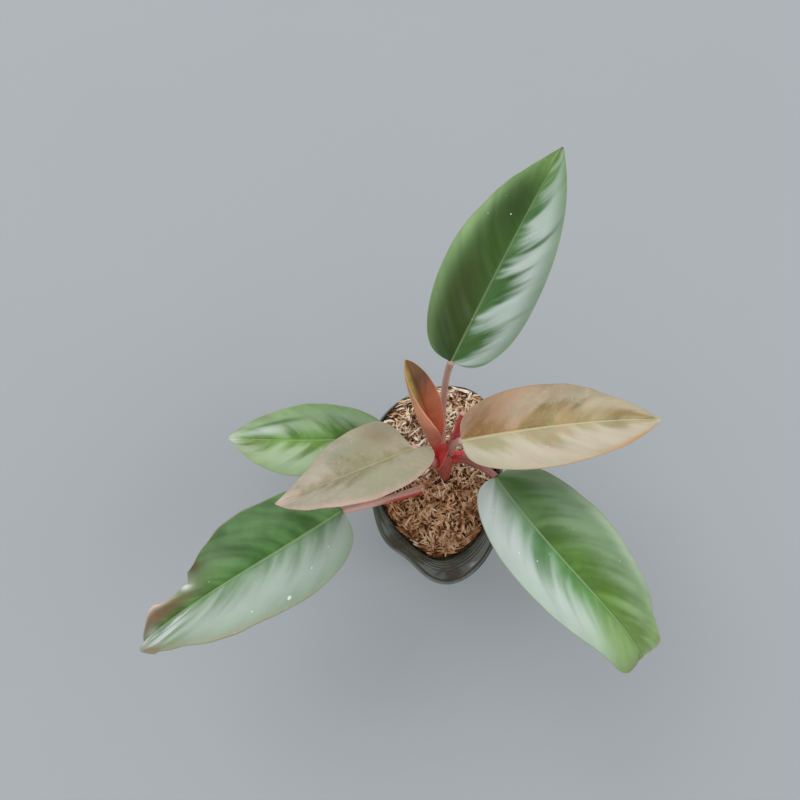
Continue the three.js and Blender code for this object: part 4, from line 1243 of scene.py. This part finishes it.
def half_relief(leaf, t, s, left, lateral, vein_depth):
    """The soft folds along the side veins, and the wrinkles."""
    phase = math.tau * lateral * leaf["laterals"] + leaf["seed"] * 2 + (1 if left else -1)
    folds = sum(share * np.sin(phase * rate + shift) for rate, share, shift in RELIEF_WAVES)
    window = smooth_step(s, 0, 0.16) * (1 - 0.75 * smooth_step(s, 0.45, 1)) * smooth_step(t, 0, 0.1)
    relief = vein_depth * folds * window
    if left and "wrinkles" in leaf:
        at, reach, height = leaf["wrinkles"]
        creases = np.sin(s * CREASES_ACROSS - t * CREASES_ALONG) * smooth_step(s, 0.05, 0.2)
        relief = relief + height * creases * bump(t, at, reach)
    return relief


def blade_half(leaf, t, s, left, vein_depth):
    """One half of a blade as a grid of points, normals, side vein places and distances from the midrib."""
    near_tip = np.clip((1 - t) / TIP_ROUND, 0, 1)
    rounding = np.sqrt(near_tip * (2 - near_tip))
    width = half_width(leaf, t, left, rounding)
    lean = half_lean(leaf, t, left, rounding)
    fold_ends, cup_ends = (
        leaf.get(key + "_left", leaf[key]) if left else leaf[key] for key in ("fold", "cup"))
    fold = np.radians(blend(*fold_ends, t) - leaf["tip_flat"] * smooth_step(t, TIP_START, 1))
    cup = np.radians(blend(*cup_ends, t)) + 1e-6
    slope = fold - cup * s
    out = (np.sin(fold) - np.sin(slope)) / cup
    up = (np.cos(slope) - np.cos(fold)) / cup
    lateral = t - LATERAL_REACH * s - LATERAL_CURVE * s ** 2 + 0.006 * np.sin(9 * t + 3 * s + leaf["seed"])
    from_rib = width * s
    groove = GROOVE_DEPTH * bump(from_rib, 0, blend(*GROOVE_WIDTH, t)) * smooth_step(1 - t, 0, 0.1)
    relief = half_relief(leaf, t, s, left, lateral, vein_depth) - groove
    point, side, face = blade_frames(leaf, leaf["length"] * (t + lean * s ** LEAN_CURVE))
    side = side * (1 if left else -1)
    normal = face * np.cos(slope)[..., None] - side * np.sin(slope)[..., None]
    rise = width * up + half_ripple(leaf, t, s, left)
    surface = point + side * (width * out)[..., None] + face * rise[..., None] + normal * relief[..., None]
    return surface, normal, lateral, from_rib


def blade_object(name, leaf, settings, columns, rows):
    """A closed blade: rows run from foot to tip, columns from the left margin to the right one."""
    even = np.linspace(0, 1, rows + 1)
    closer_at_ends = 0.35 * (1 - np.cos(math.pi * even)) + 0.3 * even
    t, s = np.broadcast_arrays(closer_at_ends[:, None], np.asarray(columns, float)[None, :])
    depth = settings.vein_depth / MM * leaf["relief"]
    left = blade_half(leaf, t, s, True, depth)
    right = blade_half(leaf, t, s, False, depth)
    grids = [np.concatenate([a[:, ::-1], b[:, 1:]], 1) for a, b in zip(left, right)]
    upper, normal, lateral, from_rib = grids
    normal[:, len(columns) - 1] = (left[1][:, 0] + right[1][:, 0]) / 2
    normal /= np.linalg.norm(normal, axis=-1, keepdims=True)
    across = np.concatenate([s[:, ::-1], -s[:, 1:]], 1)
    t = np.concatenate([t[:, ::-1], t[:, 1:]], 1)
    skin = settings.thickness / MM
    thickness = blend(skin, MARGIN_THICKNESS, np.abs(across) ** 4)
    ridge = leaf["rib_depth"] * (1 - 0.85 * t)
    thickness = thickness + ridge * bump(from_rib, 0, blend(*RIDGE_WIDTH, t))
    lower = upper - normal * thickness[..., None]
    turn = math.radians(leaf["azimuth"])
    spin = np.array([[math.cos(turn), -math.sin(turn), 0], [math.sin(turn), math.cos(turn), 0], [0, 0, 1]])
    across_count = across.shape[1]
    offset = across.size
    points = np.concatenate([upper.reshape(-1, 3), lower.reshape(-1, 3)]) @ spin.T + leaf["foot"]
    middle = rows * across_count + (across_count - 1) // 2

    def top(i, j):
        return middle if i == rows else i * across_count + j

    faces = []
    for i in range(rows):
        for j in range(across_count - 1):
            quad = (top(i, j), top(i, j + 1), top(i + 1, j + 1), top(i + 1, j))
            quad = quad if i + 1 < rows else quad[:3]
            faces.append(quad)
            faces.append(tuple(k + offset for k in reversed(quad)))
        for j in (0, across_count - 1):
            a, b = top(i, j), top(i + 1, j)
            faces.append((a, b, b + offset, a + offset))
    for j in range(across_count - 1):
        faces.append((top(0, j), top(0, j + 1), top(0, j + 1) + offset, top(0, j) + offset))
    marks = {"along": t, "across": across, "lateral": lateral, "from_rib": from_rib}
    obj = mesh_object(name, points, faces, {
        **{key: np.tile(values.ravel(), 2) for key, values in marks.items()},
        "underside": np.repeat([0.0, 1.0], offset)})
    edit_mesh(obj.data)
    return obj


# Stalks

def bezier(points, count):
    """Points along the curve that four handles give."""
    u = np.linspace(0, 1, count)[:, None]
    a, b, c, d = (np.array(p, float) for p in points)
    return (1 - u) ** 3 * a + 3 * (1 - u) ** 2 * u * b + 3 * (1 - u) * u ** 2 * c + u ** 3 * d


def smooth_path(points, count):
    """A smooth curve through the points, with even shares of it between each two."""
    knots = np.array(points, float)
    places = np.linspace(0, len(knots) - 1, count)
    padded = np.concatenate([[2 * knots[0] - knots[1]], knots, [2 * knots[-1] - knots[-2]]])
    result = []
    for place in places:
        k = min(int(place), len(knots) - 2)
        u = place - k
        a, b, c, d = padded[k:k + 4]
        result.append(0.5 * (2 * b + (c - a) * u + (2 * a - 5 * b + 4 * c - d) * u ** 2
                             + (3 * b - a - 3 * c + d) * u ** 3))
    return np.array(result)


def path_object(name, points, radii):
    """A curve through points in millimetres that carries its radius."""
    curve = bpy.data.curves.new(name, "CURVE")
    curve.dimensions = "3D"
    curve.twist_mode = "MINIMUM"
    spline = curve.splines.new("POLY")
    spline.points.add(len(points) - 1)
    for place, point, radius in zip(spline.points, points, radii):
        place.co = (*(c * MM for c in point), 1)
        place.radius = radius * MM
    return bpy.data.objects.new(name, curve)


STALK_SIZES = {
    "Sides": 28, "Steps": 72, "Groove": 0.0, "Groove Width": 0.3, "Groove Turn": math.pi / 2,
    "Wing": 0.0, "Wing Reach": 0.55, "Ribs": 9.0, "Rib Depth": 0.012,
}


def stalk_tree():
    """Sweeps a round section along a path, with a groove on top, a wing at the foot and fine ribs."""
    kinds = {key: "Int" if key in ("Sides", "Steps") else "Float" for key in STALK_SIZES}
    tree, sizes, way_out = geometry_tree("Swept stalk", {**kinds, "Material": "Material"})
    grid, _, share, row = sweep_grid(sizes["Sides"], sizes["Steps"])
    angle = share * math.tau
    along = clamp((row - 1) / (sizes["Steps"] - 2))
    closing = clamp(row) * clamp(sizes["Steps"] - row)
    radius = add_node(tree, "GeometryNodeSampleCurve", {
        "Curves": sizes["Geometry"], "Factor": along, "Value": add_node(tree, "GeometryNodeInputRadius")},
        "Value", mode="FACTOR")
    outputs = radius.socket.node.outputs
    centre, tangent, level = (Wire(tree, outputs[key]) for key in ("Position", "Tangent", "Normal"))
    upward = add_node(tree, "ShaderNodeVectorMath", {0: tangent, 1: level}, operation="CROSS_PRODUCT")
    groove = exponential((cosine(angle - sizes["Groove Turn"]) - 1) / sizes["Groove Width"])
    ribs = cosine(angle * sizes["Ribs"]) * sizes["Rib Depth"]
    swollen = radius * (1 - groove * sizes["Groove"] + ribs) * closing
    wing = clamp(1 - along / sizes["Wing Reach"]) * sizes["Wing"] * closing
    wide = add_node(tree, "ShaderNodeVectorMath", {
        0: level, "Scale": (swollen + wing) * cosine(angle)}, operation="SCALE")
    high = add_node(tree, "ShaderNodeVectorMath", {
        0: upward, "Scale": swollen * sine(angle)}, operation="SCALE")
    spot = add_node(tree, "ShaderNodeVectorMath", {0: wide, 1: high}, operation="ADD")
    spot = add_node(tree, "ShaderNodeVectorMath", {0: spot, 1: centre}, operation="ADD")
    marked = with_value(with_value(grid, "along", along), "around", share)
    finish_sweep(marked, spot, sizes["Material"], way_out)
    return tree


def stalk_object(name, points, radii, material, **sizes):
    """A swept stalk; its sizes are the tree's inputs, named without their spaces."""
    sizes = {key.replace("_", " "): value for key, value in sizes.items()}
    tree = bpy.data.node_groups.get("Swept stalk") or stalk_tree()
    source = path_object(name + "_path", points, radii)
    obj = run_tree(source, tree, {**STALK_SIZES, "Material": material, **sizes}, name)
    edit_mesh(obj.data)
    return obj


# Operators

class PHILODENDRON_OT_pot(bpy.types.Operator):
    """Builds the squeezed nursery pot with its lip, ribs and drain holes."""
    bl_idname = "philodendron.pot"
    bl_label = "Nursery Pot"

    def execute(self, context):
        pot = context.scene.philodendron_pot
        profile = pot_profile(pot)
        source = mesh_object("pot_section", [(out, 0, z) for out, z, _ in profile], [],
                             {"on_rim": [p[2] for p in profile]})
        material = pot_material(tuple(pot.colour))
        obj = run_tree(source, pot_tree(), {
            "Sides": POT_SIDES, "Section Points": len(profile), "Height": pot.height,
            "Rim Radius": pot.rim_radius, "Rim Egg": RIM_EGG * MM, "Rim Oval": pot.rim_oval,
            "Base Radius": pot.base_radius, "Base Egg": BASE_EGG * MM, "Base Oval": BASE_OVAL * MM,
            "Buckle": pot.buckle, "Material": material}, "nursery_pot")
        edit_mesh(obj.data, add_drained_floor)
        settle(obj, material, "nursery_pot", "pot")
        return {"FINISHED"}


class PHILODENDRON_OT_fill(bpy.types.Operator):
    """Dresses the potting mix and lays the mulch bed with its husks and straws."""
    bl_idname = "philodendron.fill"
    bl_label = "Potting Mix and Mulch"

    def execute(self, context):
        pot = context.scene.philodendron_pot
        mulch = context.scene.philodendron_mulch
        mix = frame["nodes"]["potting_mix"]
        mix.data.materials.clear()
        mix.data.materials.append(soil_material("potting mix", "#1d130c", "#3d2a1c", 210.0))
        bed = mulch_bed(pot)
        chips = [husk_shape(f"chip_{k}", *sizes) for k, sizes in enumerate(CHIP_SHAPES, 1)]
        straws = [husk_shape(f"straw_{k}", *sizes) for k, sizes in enumerate(STRAW_SHAPES, 1)]
        chip_look = husk_material("husk chips", [
            (0.0, "#5a3a26"), (0.2, "#a27450"), (0.42, "#deb890"), (0.6, "#fbe6c4"),
            (1.0, "#fffcf2")], "#fde2c8")
        straw_look = husk_material("husk straws", [
            (0.0, "#8c5f44"), (0.25, "#d6aa86"), (0.6, "#f6e0bc"), (1.0, "#fff8e8")], "#fde4cc")
        husks = scatter(bed, chips, "mulch_husks", {
            "Density": mulch.husks * PER_SQUARE_CM, "Length": mulch.husk_length, "Length Spread": 0.9,
            "Tilt": 0.65, "Lift": 0.0022, "Edge Belt": 0.004, "Seed": mulch.seed, "Material": chip_look})
        straw = scatter(bed, straws, "mulch_straws", {
            "Density": mulch.straws * PER_SQUARE_CM, "Length": mulch.straw_length, "Length Spread": 1.2,
            "Tilt": 0.4, "Lift": 0.003, "Edge Belt": 0.006, "Seed": mulch.seed + 40,
            "Material": straw_look})
        settle(bed, soil_material("mulch bed", "#2c1a10", "#7a5236", 320.0), "husk_mulch", "mulch")
        settle(husks, chip_look, "husk_mulch")
        settle(straw, straw_look, "husk_mulch")
        return {"FINISHED"}


class PHILODENDRON_OT_stem(bpy.types.Operator):
    """Builds the maroon stem with its roots, and the stub of a leaf that was cut away."""
    bl_idname = "philodendron.stem"
    bl_label = "Stem and Roots"

    def execute(self, context):
        knots = np.linspace(0, len(STEM_RADII) - 1, PATH_STEPS)
        radii = np.interp(knots, range(len(STEM_RADII)), STEM_RADII)
        material = stalk_material("maroon stem", "#9a4a38", "#a84a42", "#c07a64")
        pieces = [stalk_object("stem_trunk", smooth_path(STEM_AXIS, PATH_STEPS), radii, material,
                               Sides=48, Ribs=5.0, Rib_Depth=0.05)]
        foot = np.array(STEM_AXIS[0][:2])
        for k in range(ROOT_COUNT):
            turn = math.tau * (k + 0.3) / ROOT_COUNT
            outward = np.array([math.cos(turn), math.sin(turn)])
            top = ROOT_TOP - 3 * (k % 3)
            handles = [(1, top), (ROOT_SPREAD * 0.5, top), (ROOT_SPREAD * 0.9, top - ROOT_DEPTH * 0.4),
                       (ROOT_SPREAD, top - ROOT_DEPTH)]
            path = bezier([(*(foot + outward * reach), z) for reach, z in handles], ROOT_STEPS)
            pieces.append(stalk_object(f"root_{k}", path, np.linspace(*ROOT_RADIUS, ROOT_STEPS), material,
                                       Sides=10, Steps=ROOT_STEPS))
        settle(join("plant_stem", pieces), material, "maroon_stem", "stem")
        stub_look = stalk_material(
            "cut stalk", "#86282a", "#b8404a", "#d06e70", cut="#b8806e", roughness=0.3)
        stub = stalk_object("cut_leaf_stalk", bezier(CUT_STALK, STUB_STEPS),
                            np.linspace(*CUT_STALK_RADIUS, STUB_STEPS), stub_look, Groove=0.1)
        settle(stub, stub_look, "maroon_stem", "cut_stalk")
        return {"FINISHED"}


class PHILODENDRON_OT_petioles(bpy.types.Operator):
    """Builds the grooved petiole of each spread leaf."""
    bl_idname = "philodendron.petioles"
    bl_label = "Petioles"

    def execute(self, context):
        groove = context.scene.philodendron_leaf.groove
        # Each petiole thins over its lower five eighths
        share = np.minimum(1, 1.6 * np.linspace(0, 1, PATH_STEPS))
        for name, leaf in LEAVES.items():
            path = bezier([*leaf["petiole"], leaf["foot"]], PATH_STEPS)
            radii = blend(*leaf["petiole_radius"], share)
            foot, head = leaf["stalk"]
            material = stalk_material(f"petiole {name}", foot, head, "#d0aca0", sheath=leaf.get("sheath"),
                                      red_edge=leaf.get("red_edge"))
            piece = stalk_object(f"leaf_stalk_{name}", path, radii, material, Groove=groove,
                                 Wing=leaf["wing"] * MM)
            settle(piece, material, "pink_petiole", f"petiole_{name}")
        return {"FINISHED"}


class PHILODENDRON_OT_blades(bpy.types.Operator):
    """Builds the six spread blades with sunken side veins, raised midribs and thin margins."""
    bl_idname = "philodendron.blades"
    bl_label = "Leaf Blades"

    def execute(self, context):
        settings = context.scene.philodendron_leaf
        for name, leaf in LEAVES.items():
            piece = blade_object(f"leaf_blade_{name}", leaf, settings, LEAF_COLUMNS, BLADE_ROWS)
            material = leaf_material(f"leaf {name}", leaf, settings.roughness)
            slot = "bronze_leaf" if name in BRONZE_LEAVES else "green_leaf"
            settle(piece, material, slot, f"blade_{name}")
        return {"FINISHED"}


class PHILODENDRON_OT_young_leaf(bpy.types.Operator):
    """Builds the rolled young leaf on its short stalk."""
    bl_idname = "philodendron.young_leaf"
    bl_label = "Young Leaf"

    def execute(self, context):
        settings = context.scene.philodendron_leaf
        material = young_leaf_material()
        blade = blade_object("young_blade", YOUNG_LEAF, settings, YOUNG_COLUMNS, YOUNG_ROWS)
        radii = np.linspace(*YOUNG_LEAF["stalk_radius"], YOUNG_STEPS)
        stalk = stalk_object("young_stalk", bezier(YOUNG_LEAF["stalk_path"], YOUNG_STEPS), radii, material,
                             Steps=YOUNG_STEPS)
        stalk.data.attributes["along"].data.foreach_set("value", [0.0] * len(stalk.data.vertices))
        settle(join("young_leaf", [blade, stalk]), material, "young_leaf", "new_leaf")
        return {"FINISHED"}


class PHILODENDRON_OT_bud_scale(bpy.types.Operator):
    """Builds the glossy red scale at the crown."""
    bl_idname = "philodendron.bud_scale"
    bl_label = "Bud Scale"

    def execute(self, context):
        settings = context.scene.philodendron_leaf
        material = bud_scale_material()
        piece = blade_object("red_bud_scale", BUD_SCALE, settings, SCALE_COLUMNS, SCALE_ROWS)
        settle(piece, material, "red_scale", "bud_scale")
        strip = blade_object("red_sheath_strip", SHEATH_STRIP, settings, SCALE_COLUMNS, STRIP_ROWS)
        settle(strip, material, "red_scale")
        return {"FINISHED"}


class PHILODENDRON_OT_stage(bpy.types.Operator):
    """Sets the floor, the soft light and the camera at the photograph's viewing angle."""
    bl_idname = "philodendron.stage"
    bl_label = "Studio Stage"

    camera_place = (-0.0249, -0.1102, 0.4888)
    camera_tilt = 24
    camera_lens = 26
    light_distance = 18
    light_aim = (0, 0, 0.12)
    camera_sensor = 36
    floor_reach = 6000
    # Each soft light: azimuth and height above the floor in degrees, and its side in metres
    key_light = (142, 42, 15.8)
    fill_light = (-10, 30, 13.6)

    def soft_light(self, context, name, power, azimuth, height, side):
        light = bpy.data.lights.new(name, "AREA")
        light.energy = power
        light.size = side
        lamp = bpy.data.objects.new(name, light)
        turn, rise = math.radians(azimuth), math.radians(height)
        arm = Vector((math.cos(rise) * math.cos(turn), math.cos(rise) * math.sin(turn), math.sin(rise)))
        lamp.location = Vector(self.light_aim) + arm * self.light_distance
        lamp.rotation_euler = arm.to_track_quat("Z", "Y").to_euler()
        context.scene.collection.objects.link(lamp)

    def execute(self, context):
        stage = context.scene.philodendron_stage
        corners = np.array([(-1, -1, 0), (1, -1, 0), (1, 1, 0), (-1, 1, 0)]) * self.floor_reach
        floor = mesh_object("studio_floor", corners, [(0, 1, 2, 3)], smooth=False)
        floor.data.materials.append(floor_material(tuple(stage.floor)))

        world = bpy.data.worlds.new("soft studio")
        world.use_nodes = True
        sky = world.node_tree.nodes["Background"]
        sky.inputs["Color"].default_value = (0.96, 0.98, 1.0, 1.0)
        sky.inputs["Strength"].default_value = stage.sky
        context.scene.world = world

        self.soft_light(context, "key_light", stage.key, *self.key_light)
        self.soft_light(context, "fill_light", stage.fill, *self.fill_light)

        camera = bpy.data.objects.new("camera", bpy.data.cameras.new("camera"))
        camera.data.lens = self.camera_lens
        camera.data.sensor_width = self.camera_sensor
        camera.data.clip_start = 0.01
        camera.location = self.camera_place
        camera.rotation_euler = (math.radians(self.camera_tilt), 0, 0)
        context.scene.collection.objects.link(camera)
        context.scene.camera = camera
        context.scene.view_settings.view_transform = "Standard"
        return {"FINISHED"}


STEPS = ("pot", "fill", "stem", "petioles", "blades", "young_leaf", "bud_scale", "stage")


class PHILODENDRON_PT_panel(bpy.types.Panel):
    """Lists the sizes and the steps in the 3D view's sidebar."""
    bl_idname = "PHILODENDRON_PT_panel"
    bl_label = "Potted Philodendron"
    bl_space_type = "VIEW_3D"
    bl_region_type = "UI"
    bl_category = "Philodendron"

    def draw(self, context):
        for step in STEPS:
            self.layout.operator(f"philodendron.{step}")
        for group in GROUPS:
            settings = getattr(context.scene, group)
            for key in settings.bl_rna.properties.keys():
                if key not in ("rna_type", "name"):
                    self.layout.prop(settings, key)


GROUPS = {
    "philodendron_pot": PotSettings,
    "philodendron_mulch": MulchSettings,
    "philodendron_leaf": LeafSettings,
    "philodendron_stage": StageSettings,
}
CLASSES = (
    *GROUPS.values(),
    PHILODENDRON_OT_pot,
    PHILODENDRON_OT_fill,
    PHILODENDRON_OT_stem,
    PHILODENDRON_OT_petioles,
    PHILODENDRON_OT_blades,
    PHILODENDRON_OT_young_leaf,
    PHILODENDRON_OT_bud_scale,
    PHILODENDRON_OT_stage,
    PHILODENDRON_PT_panel,
)


def register():
    for item in CLASSES:
        bpy.utils.register_class(item)
    for name, group in GROUPS.items():
        setattr(bpy.types.Scene, name, bpy.props.PointerProperty(type=group))


def unregister():
    for name in GROUPS:
        delattr(bpy.types.Scene, name)
    for item in reversed(CLASSES):
        bpy.utils.unregister_class(item)


def main():
    register()
    for step in STEPS:
        getattr(bpy.ops.philodendron, step)()


if __name__ == "__main__":
    main()
